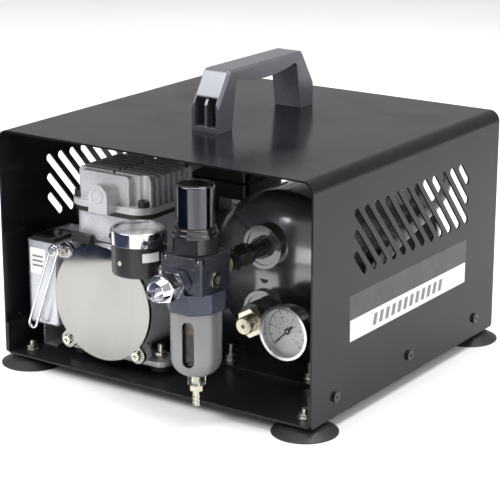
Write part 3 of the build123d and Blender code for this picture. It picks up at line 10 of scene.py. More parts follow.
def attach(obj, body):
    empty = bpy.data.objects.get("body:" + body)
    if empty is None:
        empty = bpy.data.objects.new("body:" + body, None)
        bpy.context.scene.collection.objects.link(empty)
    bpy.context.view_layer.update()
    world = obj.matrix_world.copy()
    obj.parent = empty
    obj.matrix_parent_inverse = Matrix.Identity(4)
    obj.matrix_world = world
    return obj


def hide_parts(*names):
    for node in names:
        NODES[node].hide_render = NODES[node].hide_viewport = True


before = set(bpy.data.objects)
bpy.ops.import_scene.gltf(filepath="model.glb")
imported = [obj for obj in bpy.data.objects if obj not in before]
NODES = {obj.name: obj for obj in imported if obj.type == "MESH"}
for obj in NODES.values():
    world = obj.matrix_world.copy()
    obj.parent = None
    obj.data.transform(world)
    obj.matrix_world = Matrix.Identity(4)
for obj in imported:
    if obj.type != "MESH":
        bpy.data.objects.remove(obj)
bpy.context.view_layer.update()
MM = 0.001


def at(x, y, z):
    """A point given in millimetres from the middle of the case's floor, in the frame's metres."""
    return Vector((x, y + 30.5, z + 9.0)) * MM


SIDE_X = 145.0                      # outer face of the case's right side
BOX_FRONT = -124.0                  # front face of the switch box
TANK_DIAL_AT = (96.4, -95.83, 53.2)
SMALL_GAUGE_X, SMALL_GAUGE_Y = 5.0, -155.5
SMALL_DIAL_Z = 123.73
UNION_END = -0.0891                 # metres; the bare union lies in front of this Y


# ---------------------------------------------------------------- material kit
class Look:
    """One Principled material and the nodes that feed it, in the piece's own coordinates."""

    def __init__(self, name, metallic=0.0, **sockets):
        self.material = bpy.data.materials.new(name)
        self.material.use_nodes = True
        self.nodes = self.material.node_tree.nodes
        self.links = self.material.node_tree.links
        self.shader = self.nodes["Principled BSDF"]
        self.shader.inputs["Metallic"].default_value = metallic
        for socket, value in sockets.items():
            self.shader.inputs[socket.replace("_", " ")].default_value = value
        self.coords = self.nodes.new("ShaderNodeTexCoord").outputs["Object"]

    def feed(self, socket, source):
        self.links.new(source, self.shader.inputs[socket])

    def noise(self, scale, detail=3.0, stretch=None, warp=0.0):
        source = self.coords
        if stretch:
            mapping = self.nodes.new("ShaderNodeMapping")
            mapping.inputs["Scale"].default_value = stretch
            self.links.new(source, mapping.inputs["Vector"])
            source = mapping.outputs["Vector"]
        node = self.nodes.new("ShaderNodeTexNoise")
        node.inputs["Scale"].default_value = scale
        node.inputs["Detail"].default_value = detail
        node.inputs["Distortion"].default_value = warp
        self.links.new(source, node.inputs["Vector"])
        return node.outputs["Fac"]

    def cells(self, scale, feature="F1"):
        node = self.nodes.new("ShaderNodeTexVoronoi")
        node.feature = feature
        node.inputs["Scale"].default_value = scale
        self.links.new(self.coords, node.inputs["Vector"])
        return node.outputs["Distance"]

    def ramp(self, factor, stops):
        node = self.nodes.new("ShaderNodeValToRGB")
        elements = node.color_ramp.elements
        while len(elements) < len(stops):
            elements.new(0.5)
        for element, (place, colour) in zip(elements, stops):
            element.position = place
            element.color = (*colour, 1.0)
        self.links.new(factor, node.inputs["Fac"])
        return node.outputs["Color"]

    def remap(self, factor, low, high, start=0.3, end=0.7):
        node = self.nodes.new("ShaderNodeMapRange")
        node.inputs["From Min"].default_value = start
        node.inputs["From Max"].default_value = end
        node.inputs["To Min"].default_value = low
        node.inputs["To Max"].default_value = high
        self.links.new(factor, node.inputs["Value"])
        return node.outputs["Result"]

    def maths(self, operation, a, b=None):
        node = self.nodes.new("ShaderNodeMath")
        node.operation = operation
        for socket, value in zip(node.inputs, (a, b)):
            if isinstance(value, (int, float)):
                socket.default_value = value
            elif value is not None:
                self.links.new(value, socket)
        return node.outputs[0]

    def mix(self, factor, first, second):
        node = self.nodes.new("ShaderNodeMix")
        node.data_type = "RGBA"
        self.links.new(factor, node.inputs["Factor"])
        for socket, value in ((node.inputs[6], first), (node.inputs[7], second)):
            if isinstance(value, tuple):
                socket.default_value = (*value, 1.0)
            else:
                self.links.new(value, socket)
        return node.outputs[2]

    def round_edges(self, radius):
        node = self.nodes.new("ShaderNodeBevel")
        node.samples = 4
        node.inputs["Radius"].default_value = radius
        return node.outputs["Normal"]

    def edge_mask(self, radius):
        """White along the edges, where the rounded normal leaves the true one: it marks rubbed paint and
        painted edge highlights.
        """
        rounded = self.round_edges(radius)
        true_normal = self.nodes.new("ShaderNodeNewGeometry").outputs["Normal"]
        node = self.nodes.new("ShaderNodeVectorMath")
        node.operation = "DOT_PRODUCT"
        self.links.new(rounded, node.inputs[0])
        self.links.new(true_normal, node.inputs[1])
        return self.remap(node.outputs["Value"], 1.0, 0.0, 0.88, 0.99)

    def bump(self, layers, edge=0.0004):
        """layers: (height, strength, distance in metres), laid over softly rounded edges."""
        normal = self.round_edges(edge)
        for height, strength, distance in layers:
            node = self.nodes.new("ShaderNodeBump")
            node.inputs["Strength"].default_value = strength
            node.inputs["Distance"].default_value = distance
            self.links.new(height, node.inputs["Height"])
            self.links.new(normal, node.inputs["Normal"])
            normal = node.outputs["Normal"]
        self.feed("Normal", normal)


def shade(colour, factor):
    return tuple(min(1.0, channel * factor) for channel in colour)


def coated(name, colour, rough, grain=900.0, depth=0.12, rub_and_sheen=0.0, rub_and_sheen_colour=(0.3, 0.3, 0.31), **sockets):
    """Paint, powder coat or moulded plastic: mottled colour, fine orange peel, and lighter edge patches
    that are partly rubbed paint and partly painted highlight.
    """
    look = Look(name, **sockets)
    cloudy = look.noise(14.0, 4.0)
    tone = look.ramp(cloudy, [(0.3, shade(colour, 0.86)), (0.7, shade(colour, 1.14))])
    # painted highlight: edge patches are lightened towards the given colour, partly as rubbed paint and
    # partly as light caught on rounded edges
    if rub_and_sheen:
        rub_and_sheen_spots = look.remap(look.noise(160.0), 0.0, rub_and_sheen, 0.42, 0.7)
        rub_and_sheen_edges = look.maths("MULTIPLY", look.edge_mask(0.0006), rub_and_sheen_spots)
        tone = look.mix(rub_and_sheen_edges, tone, rub_and_sheen_colour)
    look.feed("Base Color", tone)
    look.feed("Roughness", look.remap(look.noise(22.0, 6.0, warp=0.6), rough - 0.06, rough + 0.08))
    look.bump([(look.noise(grain, 2.0), depth, 0.0002), (look.noise(60.0, 2.0), 0.05, 0.0004)])
    return look.material


def cast(name, colour, rough, grain=700.0, depth=0.4, metallic=0.5):
    """Cast metal: sandy skin, darker in the pits, and a painted highlight that makes it a little brighter
    on its corners.
    """
    look = Look(name, metallic=metallic)
    sand = look.noise(grain, 5.0)
    tone = look.ramp(sand, [(0.3, shade(colour, 0.8)), (0.65, colour)])
    # painted highlight: edges lightened to 1.12 times the colour
    tone = look.mix(look.remap(look.edge_mask(0.0008), 0.0, 0.4, 0.0, 1.0), tone, shade(colour, 1.12))
    look.feed("Base Color", tone)
    look.feed("Roughness", look.remap(look.noise(90.0, 5.0), rough - 0.08, rough + 0.1))
    look.bump([(sand, depth, 0.0003), (look.noise(110.0, 3.0), 0.12, 0.0005)], 0.0006)
    return look.material


def turned(name, colour, rough, stretch=(1.0, 60.0, 60.0), depth=0.05, edge=0.0003, stain=0.12):
    """Machined or plated metal: faint tool lines, a slight tarnish and finger marks."""
    look = Look(name, metallic=1.0)
    lines = look.noise(14.0, 4.0, stretch)
    tarnish = look.noise(120.0, 4.0, warp=0.4)
    look.feed("Base Color", look.ramp(tarnish, [(0.32, shade(colour, 1.0 - stain)), (0.6, colour)]))
    look.feed("Roughness", look.remap(look.noise(45.0, 6.0), max(0.02, rough - 0.04), rough + 0.07))
    look.bump([(lines, depth, 0.00015)], edge)
    return look.material


POWDER = coated("powder_black", (0.008, 0.008, 0.0095), 0.17, 1100.0, 0.05, 0.4, rub_and_sheen_colour=(0.08, 0.08, 0.088),
                Specular_IOR_Level=0.22)
GLOSS = coated("gloss_black", (0.15, 0.15, 0.155), 0.17, 260.0, 0.03, metallic=0.75, Coat_Weight=0.6,
               Coat_Roughness=0.05)
LOOKS = {
    "cover": POWDER,
    "base_tray": coated("tray_black", (0.011, 0.011, 0.013), 0.3, 1100.0, 0.1, 0.4,
                        rub_and_sheen_colour=(0.1, 0.1, 0.11), Specular_IOR_Level=0.3),
    "carry_handle": coated("handle_grey", (0.13, 0.133, 0.145), 0.3, 1500.0, 0.06, 0.35,
                           rub_and_sheen_colour=(0.3, 0.3, 0.33), metallic=0.55),
    "case_screws": coated("screw_black", (0.014, 0.014, 0.016), 0.28, 1500.0, 0.08, 0.8,
                          rub_and_sheen_colour=(0.3, 0.29, 0.27)),
    "tray_fasteners": turned("zinc", (0.66, 0.64, 0.58), 0.24, stain=0.3),
    "suction_feet": coated("rubber_black", (0.014, 0.014, 0.015), 0.5, 500.0, 0.2),
    "rubber_mounts": coated("rubber_mount", (0.018, 0.018, 0.019), 0.62, 500.0, 0.3),
    "crankcase": cast("crankcase_cast", (0.62, 0.63, 0.65), 0.36),
    "cylinder": cast("cylinder_cast", (0.66, 0.67, 0.69), 0.34),
    "cylinder_head": cast("head_cast", (0.6, 0.6, 0.61), 0.36, 900.0, 0.2, 0.35),
    "head_gasket": coated("gasket", (0.01, 0.01, 0.011), 0.45, 400.0, 0.2),
    "head_bolts": coated("black_oxide", (0.016, 0.016, 0.018), 0.3, 1500.0, 0.1, 0.9,
                         rub_and_sheen_colour=(0.22, 0.21, 0.2)),
    "rocking_piston": cast("piston_cast", (0.6, 0.6, 0.62), 0.4),
    "crankshaft": turned("shaft_steel", (0.5, 0.5, 0.51), 0.25),
    "shaft_bearings": turned("bearing_steel", (0.6, 0.6, 0.62), 0.18),
    "rotor": turned("lamination_rotor", (0.3, 0.3, 0.33), 0.35, (1.0, 300.0, 1.0), 0.3),
    "stator": turned("lamination_stator", (0.26, 0.26, 0.29), 0.38, (1.0, 300.0, 1.0), 0.3),
    "motor_housing": coated("motor_silver", (0.42, 0.43, 0.45), 0.32, 800.0, 0.1, metallic=0.8),
    "motor_end_bell": cast("bell_cast", (0.55, 0.56, 0.58), 0.42),
    "cooling_fan": coated("fan_black", (0.02, 0.02, 0.022), 0.4, 900.0, 0.1),
    "intake_filter": coated("filter_cap", (0.012, 0.012, 0.013), 0.3, 800.0, 0.12),
    "switch_box": coated("box_silver", (0.56, 0.57, 0.6), 0.3, 1200.0, 0.08, 0.3,
                         rub_and_sheen_colour=(0.7, 0.7, 0.72), metallic=0.75),
    "switch_frame": coated("switch_black", (0.014, 0.014, 0.016), 0.3, 1200.0, 0.1),
    "rocker_switch": coated("rocker_black", (0.01, 0.01, 0.012), 0.16, 1200.0, 0.05),
    "cable_gland": coated("gland_black", (0.016, 0.016, 0.017), 0.42, 900.0, 0.15),
    "pressure_switch": coated("switch_body", (0.015, 0.015, 0.017), 0.3, 900.0, 0.12),
    "tank_shell": GLOSS,
    "tank_bracket": coated("bracket_black", (0.012, 0.012, 0.013), 0.2, 500.0, 0.08),
    "tank_manifold": coated("manifold_black", (0.012, 0.012, 0.013), 0.24, 700.0, 0.12, 0.7,
                            rub_and_sheen_colour=(0.3, 0.27, 0.2)),
        "safety_valve_body": turned("valve_nickel", (0.62, 0.58, 0.46), 0.22),
    "safety_valve_cap": turned("valve_cap", (0.6, 0.56, 0.45), 0.24, stain=0.2),
    "pipe_fittings": turned("fitting_nickel", (0.74, 0.7, 0.57), 0.2),
    "drain_valve": turned("drain_brass", (0.56, 0.52, 0.42), 0.24),
    "tank_gauge_case": turned("gauge_steel", (0.72, 0.72, 0.74), 0.16, stain=0.08),
    "regulator_gauge_case": coated("gauge_black", (0.014, 0.014, 0.016), 0.27, 900.0, 0.08, metallic=0.2),
    "regulator_gauge_bezel": turned("bezel_chrome", (0.62, 0.62, 0.65), 0.09, (60.0, 60.0, 1.0),
                                    stain=0.05),
    "regulator_body": coated("regulator_grey", (0.04, 0.044, 0.058), 0.26, 1000.0, 0.15, 0.6,
                             rub_and_sheen_colour=(0.26, 0.28, 0.33),
                             metallic=0.45),
    "regulator_bonnet": coated("bonnet_grey", (0.05, 0.053, 0.06), 0.28, 1000.0, 0.12, 0.6,
                               rub_and_sheen_colour=(0.34, 0.35, 0.38), metallic=0.5),
    "bonnet_screws": turned("screw_steel", (0.45, 0.45, 0.48), 0.22),
    "bonnet_nut": coated("nut_black", (0.009, 0.009, 0.011), 0.2, 1200.0, 0.08,
                         Coat_Weight=0.4, Coat_Roughness=0.1),
    "regulator_spindle": turned("spindle_steel", (0.5, 0.5, 0.52), 0.25),
    "bowl_collar": coated("collar_slate", (0.05, 0.056, 0.078), 0.28, 900.0, 0.12, 0.5,
                          rub_and_sheen_colour=(0.26, 0.28, 0.34),
                          metallic=0.4),
    "bowl_guard": coated("guard_grey", (0.19, 0.192, 0.195), 0.34, 1300.0, 0.08, 0.3,
                         rub_and_sheen_colour=(0.7, 0.7, 0.72), metallic=0.45),
    "outlet_adapter": turned("adapter_chrome", (0.82, 0.82, 0.85), 0.07, stain=0.1),
    "outlet_coupling": turned("coupling_chrome", (0.84, 0.84, 0.87), 0.06, stain=0.08),
    "hanger_clip": turned("clip_chrome", (0.78, 0.78, 0.8), 0.12),
    "hanger_wire": turned("wire_chrome", (0.8, 0.8, 0.82), 0.1),
    "crankcase_screws": turned("cover_screw", (0.7, 0.68, 0.6), 0.18),
}


def polished_plate():
    """Mirror-finished sheet with a faint grain, wipe marks and a soft dish towards its rim."""
    look = Look("mirror_steel", metallic=1.0)
    wiped = look.noise(30.0, 6.0, (1.0, 1.0, 0.35), 0.5)
    look.feed("Base Color", look.ramp(wiped, [(0.3, (0.3, 0.3, 0.283)), (0.7, (0.345, 0.344, 0.328))]))
    look.feed("Roughness", look.remap(wiped, 0.05, 0.11))
    grain = look.noise(30.0, 3.0, (1.0, 1.0, 70.0))
    look.bump([(look.noise(9.0, 1.0), 0.25, 0.0012), (grain, 0.03, 0.0001)], 0.0006)
    return look.material


def knob_chrome():
    """Smoked chrome on the round knob: fine vertical ridges in its bump, and the same ridges painted into
    its colour as light and dark bands of painted reflection.
    """
    look = Look("knob_smoked", metallic=1.0)
    ridges_and_reflection_bands = look.noise(70.0, 4.0, (1.0, 1.0, 0.02))
    # painted reflection: vertical light and dark bands in the colour
    look.feed("Base Color", look.ramp(ridges_and_reflection_bands, [(0.3, (0.05, 0.052, 0.06)), (0.7, (0.2, 0.205, 0.215))]))
    look.feed("Roughness", look.remap(look.noise(50.0, 5.0), 0.08, 0.16))
    look.bump([(ridges_and_reflection_bands, 0.12, 0.0004)], 0.0004)
    return look.material


def union_pipe():
    """Black fittings with a bare brass union next to the regulator."""
    look = Look("pipe_union", metallic=0.0)
    split = look.nodes.new("ShaderNodeSeparateXYZ")
    look.links.new(look.coords, split.inputs[0])
    brass = look.remap(split.outputs["Y"], 1.0, 0.0, UNION_END, UNION_END + 0.0001)
    stained = look.ramp(look.noise(140.0, 4.0, warp=0.4),
                        [(0.3, (0.44, 0.36, 0.2)), (0.65, (0.66, 0.57, 0.36))])
    black = look.ramp(look.noise(20.0, 4.0), [(0.3, (0.01, 0.01, 0.011)), (0.7, (0.018, 0.018, 0.02))])
    look.feed("Base Color", look.mix(brass, black, stained))
    look.feed("Metallic", look.maths("MULTIPLY", brass, 0.45))
    look.feed("Roughness", look.remap(look.noise(60.0, 5.0), 0.18, 0.3))
    look.bump([(look.noise(420.0, 2.0), 0.15, 0.0002)])
    return look.material


def clear(name, tint, rough=0.02, smoke=0.0):
    """Moulded window: nearly clear, lightly tinted, with faint flow lines in its skin."""
    look = Look(name, Transmission_Weight=1.0, IOR=1.35)
    haze = look.noise(25.0, 3.0, warp=0.5)
    look.feed("Base Color", look.ramp(haze, [(0.3, shade(tint, 0.97)), (0.7, tint)]))
    look.feed("Roughness", look.remap(haze, rough, rough + 0.03 + smoke))
    look.bump([(look.noise(40.0, 2.0), 0.03, 0.0002)], 0.0003)
    return look.material


def sintered():
    """Porous bronze beads, amber where they are wet."""
    look = Look("sintered_bronze", metallic=0.35)
    beads = look.cells(1300.0)
    look.feed("Base Color", look.ramp(beads, [(0.1, (0.62, 0.33, 0.07)), (0.7, (0.16, 0.07, 0.015))]))
    look.feed("Roughness", look.remap(look.noise(200.0), 0.4, 0.6))
    look.bump([(beads, 0.8, 0.0004)], 0.0003)
    return look.material


def enamel(name, colour, dirt):
    """Printed or enamelled sheet: dial faces and labels."""
    look = Look(name)
    grubby = look.noise(55.0, 5.0)
    look.feed("Base Color", look.ramp(grubby, [(0.25, shade(colour, 1.0 - dirt)), (0.6, colour)]))
    look.feed("Roughness", look.remap(look.noise(80.0, 4.0), 0.34, 0.46))
    look.bump([(look.noise(1500.0, 2.0), 0.05, 0.0001)], 0.0002)
    return look.material


LOOKS["crankcase_cover"] = polished_plate()
LOOKS["regulator_knob"] = knob_chrome()
LOOKS["inlet_pipe"] = union_pipe()
LOOKS["filter_bowl"] = clear("bowl_clear", (0.86, 0.88, 0.86), 0.03, 0.03)
LOOKS["tank_gauge_lens"] = clear("lens_clear", (0.97, 0.98, 0.98))
LOOKS["regulator_gauge_lens"] = LOOKS["tank_gauge_lens"]
LOOKS["filter_element"] = sintered()
DIAL_WHITE = enamel("dial_white", (0.82, 0.82, 0.8), 0.08)
INK = enamel("ink_black", (0.03, 0.03, 0.033), 0.2)
INK_RED = enamel("ink_red", (0.52, 0.05, 0.05), 0.2)
LABEL_WHITE = enamel("label_white", (0.74, 0.74, 0.75), 0.05)
LABEL_DARK = enamel("label_dark", (0.04, 0.04, 0.042), 0.12)
for dial in ("tank_gauge_dial", "regulator_gauge_dial"):
    LOOKS[dial] = DIAL_WHITE
for needle in ("tank_gauge_needle", "regulator_gauge_needle"):
    LOOKS[needle] = INK
for node_name, node in NODES.items():
    if node_name in LOOKS:
        node.data.materials.clear()
        node.data.materials.append(LOOKS[node_name])


# ---------------------------------------------------------------- added pieces
def piece(name, mesh, material, body="case", smooth=False):
    mesh.materials.clear()
    mesh.materials.append(material)
    for face in mesh.polygons:
        face.use_smooth = smooth
    obj = bpy.data.objects.new(name, mesh)
    bpy.context.collection.objects.link(obj)
    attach(obj, body)
    return obj


def outline_mesh(name, outlines, to_world, thick):
    """Flat outlines given in a face's own millimetres, raised off it by thick."""
    shape = bmesh.new()
    for outline in outlines:
        face = shape.faces.new([shape.verts.new((x, y, 0)) for x, y in outline])
        side = bmesh.ops.extrude_face_region(shape, geom=[face])["geom"]
        raised = [v for v in side if isinstance(v, bmesh.types.BMVert)]
        bmesh.ops.translate(shape, verts=raised, vec=(0, 0, thick))
    bmesh.ops.recalc_face_normals(shape, faces=shape.faces[:])
    mesh = bpy.data.meshes.new(name)
    shape.to_mesh(mesh)
    shape.free()
    mesh.transform(Matrix.Scale(MM, 4))
    mesh.transform(to_world)
    return mesh


def face_frame(origin, right, up):
    """Matrix from a face's own right, up and outward directions to the object's frame."""
    right, up = Vector(right), Vector(up)
    turn = Matrix((right, up, right.cross(up))).transposed().to_4x4()
    return Matrix.Translation(origin) @ turn


def rounded(x0, x1, y0, y1, r, steps=5):
    corners = ((x1 - r, y1 - r, 0), (x0 + r, y1 - r, 90), (x0 + r, y0 + r, 180), (x1 - r, y0 + r, 270))
    return [(cx + r * cos(radians(a + 90 * k / steps)), cy + r * sin(radians(a + 90 * k / steps)))
            for cx, cy, a in corners for k in range(steps + 1)]


def sector(r0, r1, start, end, steps):
    angles = [radians(start + (end - start) * k / steps) for k in range(steps + 1)]
    outer = [(r1 * cos(a), r1 * sin(a)) for a in angles]
    return outer + [(r0 * cos(a), r0 * sin(a)) for a in reversed(angles)]


def print_on(name, outlines, face, thick, material):
    """A printed sheet, or ink on it, in the millimetres of the face that carries it."""
    return piece(name, outline_mesh(name, outlines, face, thick), material)


def side_face(height):
    return face_frame(at(SIDE_X + height, 0, 0), (0, 1, 0), (0, 0, 1))


def box_face(height):
    return face_frame(at(-121.5, BOX_FRONT - height, 76.4), (1, 0, 0), (0, 0, 1))


BACKING_T, STRIP_T, INK_T = 0.08, 0.05, 0.03
GREY_INK = enamel("ink_grey", (0.17, 0.17, 0.18), 0.15)
BARS = [[(x, 55.6), (x + 5.2, 55.6), (x + 7.6, 64.6), (x + 2.4, 64.6)] for x in range(-56, 52, 9)]
BOX_RULES = [rounded(-5.4, 5.4, y, y + 1.5, 0.3) for y in (3.4, -0.4, -4.2)]
print_on("side_label_backing", [rounded(-89, 89, 51.5, 87.3, 1.5)], side_face(0), BACKING_T, LABEL_DARK)
print_on("side_label_strip", [rounded(-87.8, 87.8, 51.9, 68.3, 0.5)], side_face(BACKING_T), STRIP_T,
         LABEL_WHITE)
print_on("side_label_bars", BARS, side_face(BACKING_T + STRIP_T), INK_T, GREY_INK)
print_on("switch_label", [rounded(-7.8, 7.8, -10.6, 10.6, 1.0)], box_face(0), BACKING_T, LABEL_WHITE)
print_on("switch_label_rules", BOX_RULES, box_face(BACKING_T), INK_T, GREY_INK)


def figures(name, values, radius, size, to_world, start, sweep):
    """Upright numbers around a dial, as raised print."""
    shape = bmesh.new()
    for index, value in enumerate(values):
        text = bpy.data.curves.new(name, "FONT")
        text.body = value
        text.size = size
        text.align_x, text.align_y = "CENTER", "CENTER"
        text.extrude = 0.02
        carrier = bpy.data.objects.new(name, text)
        bpy.context.collection.objects.link(carrier)
        bpy.context.view_layer.update()
        mesh = bpy.data.meshes.new_from_object(carrier)
        angle = radians(start + sweep * index / (len(values) - 1))
        mesh.transform(Matrix.Translation((radius * cos(angle), radius * sin(angle), 0.03)))
        shape.from_mesh(mesh)
        bpy.data.objects.remove(carrier)
        bpy.data.curves.remove(text)
        bpy.data.meshes.remove(mesh)
    merged = bpy.data.meshes.new(name)
    shape.to_mesh(merged)
    shape.free()
    merged.transform(Matrix.Scale(MM, 4))
    merged.transform(to_world)
    return merged


def print_dial(name, to_world, values, major, minor):
    start, sweep = 225.0, -270.0
    marks = []
    for step in range(major * minor + 1):
        long_mark = step % minor == 0
        angle = start + sweep * step / (major * minor)
        half = 1.3 if long_mark else 0.6
        marks.append(sector(13.6 if long_mark else 15.4, 16.8, angle - half, angle + half, 1))
    marks.append(sector(16.8, 17.2, start, start + sweep, 60))
    piece(name + "_scale", outline_mesh(name + "_scale", marks, to_world, 0.04), INK)
    piece(name + "_figures", figures(name + "_figures", values, 11.0, 3.6, to_world, start, sweep), INK)
    red = [sector(17.3, 17.9, start + sweep * 0.72, start + sweep, 24)]
    red += [sector(7.0, 8.0, start + sweep * k / 10 - 3, start + sweep * k / 10 + 3, 3) for k in range(11)]
    piece(name + "_red", outline_mesh(name + "_red", red, to_world, 0.04), INK_RED)


TANK_DIAL = face_frame(at(*TANK_DIAL_AT), (1, 0, 0), (0, 0, 1))
SMALL_DIAL = face_frame(at(SMALL_GAUGE_X, SMALL_GAUGE_Y, SMALL_DIAL_Z), (1, 0, 0), (0, 1, 0))
print_dial("tank_dial", TANK_DIAL, ["0", "2", "4", "6", "8", "10"], 10, 5)
print_dial("small_dial", SMALL_DIAL, ["0", "2", "4", "6", "8", "10"], 10, 5)


def case_spot(azimuth, z, radius):
    """Frame that stands on the small gauge's round wall; azimuth turns from the front to the right."""
    a = radians(azimuth)
    place = at(SMALL_GAUGE_X + radius * sin(a), SMALL_GAUGE_Y - radius * cos(a), z)
    return face_frame(place, (cos(a), sin(a), 0), (0, 0, 1))


def screw_head(name, to_world, radius, height, material):
    """Domed slotless head turned from a profile."""
    shape = bmesh.new()
    profile = [(radius, 0), (radius, height * 0.5), (radius * 0.8, height * 0.85), (radius * 0.45, height),
               (radius * 0.4, height * 0.6), (0, height * 0.6)]
    verts = [shape.verts.new((x, 0, z)) for x, z in profile]
    edges = [shape.edges.new(pair) for pair in zip(verts, verts[1:])]
    bmesh.ops.spin(shape, geom=verts + edges, axis=(0, 0, 1), angle=2 * pi, steps=24, cent=(0, 0, 0))
    bmesh.ops.remove_doubles(shape, verts=shape.verts[:], dist=0.001)
    bmesh.ops.recalc_face_normals(shape, faces=shape.faces[:])
    mesh = bpy.data.meshes.new(name)
    shape.to_mesh(mesh)
    shape.free()
    mesh.transform(Matrix.Scale(MM, 4))
    mesh.transform(to_world)
    return piece(name, mesh, material, smooth=True)


screw_head("small_gauge_case_screw", case_spot(-6, 109.5, 20.3), 1.7, 1.1, LOOKS["crankcase_screws"])
screw_head("small_gauge_rear_screw", case_spot(174, 109.5, 20.3), 1.7, 1.1, LOOKS["crankcase_screws"])
screw_head("small_gauge_bezel_screw", case_spot(50, 126.0, 20.9), 1.9, 1.2, LOOKS["head_bolts"])
screw_head("small_gauge_left_bezel_screw", case_spot(-55, 126.0, 20.9), 1.9, 1.2, LOOKS["head_bolts"])


def gauge_sticker():
    """Plain silver sticker that follows the small gauge's wall."""
    shape = bmesh.new()
    columns = []
    for k in range(11):
        spot = case_spot(44 + 3.8 * k, 114.5, 20.46)
        columns.append([shape.verts.new(spot @ Vector((0, dz * MM, 0))) for dz in (-3.4, 3.4)])
    for left, right in zip(columns, columns[1:]):
        shape.faces.new((left[0], right[0], right[1], left[1]))
    mesh = bpy.data.meshes.new("small_gauge_sticker")
    shape.to_mesh(mesh)
    shape.free()
    return piece("small_gauge_sticker", mesh, LABEL_WHITE, smooth=True)


gauge_sticker()


# ---------------------------------------------------------------- braided delivery hose
HOSE_R = 3.95
HOSE_ROUTE = [(-36, -49.6, 146), (-36, -20, 146), (-34, 14, 160), (-30, 50, 163), (-2, 92, 160),
              (52, 120, 152),
              (104, 122, 140), (130, 84, 126), (133, 36, 114), (132.5, -8, 102), (131, -46, 84),
              (116.6, -74, 59.36)]


def hose_line(points):
    """The route as one smooth NURBS line."""
    curve = bpy.data.curves.new("hose_line", "CURVE")
    curve.dimensions = "3D"
    spline = curve.splines.new("NURBS")
    spline.points.add(len(points) - 1)
    for knot, point in zip(spline.points, points):
        knot.co = (*at(*point), 1.0)
    spline.order_u = 3
    spline.use_endpoint_u = True
    spline.resolution_u = 24
    carrier = bpy.data.objects.new("hose_line", curve)
    bpy.context.collection.objects.link(carrier)
    bpy.context.view_layer.update()
    mesh = bpy.data.meshes.new_from_object(carrier)
    line = [v.co.copy() for v in mesh.vertices]
    bpy.data.objects.remove(carrier)
    bpy.data.curves.remove(curve)
    bpy.data.meshes.remove(mesh)
    return line


def tube(name, line, radius, sides, material):
    """Tube with a UV map: once round in u, hose diameters along in v."""
    shape = bmesh.new()
    uv = shape.loops.layers.uv.new("braid")
    side = Vector((1, 0, 0))
    rings, runs, travelled = [], [], 0.0
    for index, point in enumerate(line):
        ahead = (line[min(index + 1, len(line) - 1)] - line[max(index - 1, 0)]).normalized()
        side = (side - ahead * side.dot(ahead)).normalized()
        across = ahead.cross(side)
        travelled += (point - line[index - 1]).length if index else 0.0
        runs.append(travelled / (2 * radius))
        turns = [2 * pi * k / sides for k in range(sides)]
        rings.append([shape.verts.new(point + (side * cos(a) + across * sin(a)) * radius) for a in turns])
    for r, (low, high) in enumerate(zip(rings, rings[1:])):
        for k in range(sides):
            n = (k + 1) % sides
            face = shape.faces.new((low[k], low[n], high[n], high[k]))
            for loop, (u, v) in zip(face.loops, ((k, r), (k + 1, r), (k + 1, r + 1), (k, r + 1))):
                loop[uv].uv = (u / sides, runs[v])
    mesh = bpy.data.meshes.new(name)
    shape.to_mesh(mesh)
    shape.free()
    return piece(name, mesh, material, smooth=True)


def braid():
    """Two families of steel strands crossing over each other around the hose."""
    look = Look("silver_braid", metallic=0.75)
    uv = look.nodes.new("ShaderNodeUVMap")
    uv.uv_map = "braid"
    split = look.nodes.new("ShaderNodeSeparateXYZ")
    look.links.new(uv.outputs["UV"], split.inputs[0])
    around = look.maths("MULTIPLY", split.outputs["X"], 2 * pi * 8)
    along = look.maths("MULTIPLY", split.outputs["Y"], 2 * pi * 2.6)
    one = look.maths("SINE", look.maths("ADD", around, along))
    two = look.maths("SINE", look.maths("SUBTRACT", around, along))
    weave = look.maths("MULTIPLY", one, two)
    strands = look.maths("ABSOLUTE", weave)
    look.feed("Base Color", look.ramp(strands, [(0.05, (0.14, 0.14, 0.15)), (0.45, (0.62, 0.61, 0.58))]))
    look.feed("Roughness", look.remap(look.noise(300.0), 0.25, 0.42))
    look.bump([(strands, 0.9, 0.0006), (look.noise(2400.0, 2.0), 0.15, 0.0002)], 0.0002)
    return look.material


hose = tube("braided_hose", hose_line(HOSE_ROUTE), HOSE_R * MM, 28, braid())
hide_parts("delivery_hose")

# ---------------------------------------------------------------- studio
FLOOR_HALF = 6
floor_mesh = bpy.data.meshes.new("studio_floor")
floor_corners = [(FLOOR_HALF * x, FLOOR_HALF * y, 0) for x, y in ((-1, -1), (1, -1), (1, 1), (-1, 1))]
floor_mesh.from_pydata(floor_corners, [], [(0, 1, 2, 3)])
floor = bpy.data.objects.new("studio_floor", floor_mesh)
bpy.context.collection.objects.link(floor)
pale = Look("floor_pale")
pale.feed("Base Color", pale.ramp(pale.noise(3.0), [(0.3, (0.86, 0.86, 0.86)), (0.7, (0.9, 0.9, 0.9))]))
pale.feed("Roughness", pale.remap(pale.noise(8.0), 0.6, 0.75))
floor_mesh.materials.append(pale.material)


def card(name, centre, normal, width, height, colour, strength):
    """Studio card: seen only in reflections."""
    half_w, half_h = width / 2, height / 2
    mesh = bpy.data.meshes.new(name)
    corners = [(-half_w, -half_h, 0), (half_w, -half_h, 0), (half_w, half_h, 0), (-half_w, half_h, 0)]
    mesh.from_pydata(corners, [], [(0, 1, 2, 3)])
    obj = bpy.data.objects.new(name, mesh)
    bpy.context.collection.objects.link(obj)
    obj.location = centre
    obj.rotation_mode = "QUATERNION"
    obj.rotation_quaternion = Vector(normal).to_track_quat("Z", "Y")
    look = Look(name, Specular_IOR_Level=0.0)
    look.shader.inputs["Base Color"].default_value = (0, 0, 0, 1)
    look.shader.inputs["Emission Strength"].default_value = strength
    look.shader.inputs["Emission Color"].default_value = (*colour, 1)
    mesh.materials.append(look.material)
    for ray in ("visible_camera", "visible_diffuse", "visible_shadow", "visible_transmission"):
        setattr(obj, ray, False)
    return obj


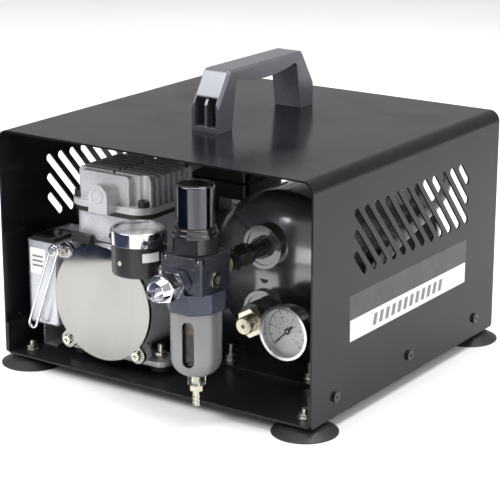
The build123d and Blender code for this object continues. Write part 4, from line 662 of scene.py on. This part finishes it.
# one bright card before the open front, one dark one beside it
card("card_low_front", (0.0, -1.3, 0.25), (0.05, 1.0, -0.05), 1.4, 0.3, (1.0, 1.0, 0.97), 3.2)
card("card_dark_front_left", (-0.24, -0.36, 0.2), (0.567, 0.823, 0), 0.6, 0.4, (0.03, 0.045, 0.1), 1.0)


def soft_light(name, place, target, width, height, energy, colour=(1, 1, 1)):
    data = bpy.data.lights.new(name, "AREA")
    data.shape = "RECTANGLE"
    data.size, data.size_y = width, height
    data.energy = energy
    data.color = colour
    obj = bpy.data.objects.new(name, data)
    bpy.context.collection.objects.link(obj)
    obj.location = place
    obj.rotation_mode = "QUATERNION"
    obj.rotation_quaternion = (Vector(target) - Vector(place)).to_track_quat("-Z", "Y")
    return obj


soft_light("key", (-0.9, -1.3, 1.5), (0, 0, 0.1), 1.2, 1.0, 34)
soft_light("top", (0.1, 0.2, 1.7), (0, 0, 0.1), 1.6, 1.2, 42)
soft_light("right", (1.7, -0.1, 0.9), (0.1, 0, 0.1), 0.8, 1.2, 14, (0.95, 0.97, 1.0))

world = bpy.data.worlds.new("studio")
bpy.context.scene.world = world
world.use_nodes = True
world.node_tree.nodes["Background"].inputs["Color"].default_value = (0.96, 0.97, 1.0, 1)
world.node_tree.nodes["Background"].inputs["Strength"].default_value = 0.5
bpy.context.scene.view_settings.view_transform = "Standard"  # a pale floor stays white

CAMERA_AT, LENS = (0.7988, -1.1347, 0.5108), 131.84
AZIMUTH, ELEVATION = radians(34.56), radians(16.79)
camera_data = bpy.data.cameras.new("camera")
camera_data.sensor_width = 36.0
camera_data.lens = LENS
camera_data.clip_end = 20.0
camera = bpy.data.objects.new("camera", camera_data)
bpy.context.collection.objects.link(camera)
camera.location = CAMERA_AT
back = Vector((sin(AZIMUTH) * cos(ELEVATION), -cos(AZIMUTH) * cos(ELEVATION), sin(ELEVATION)))
camera.rotation_mode = "QUATERNION"
camera.rotation_quaternion = (-back).to_track_quat("-Z", "Y")
bpy.context.scene.camera = camera
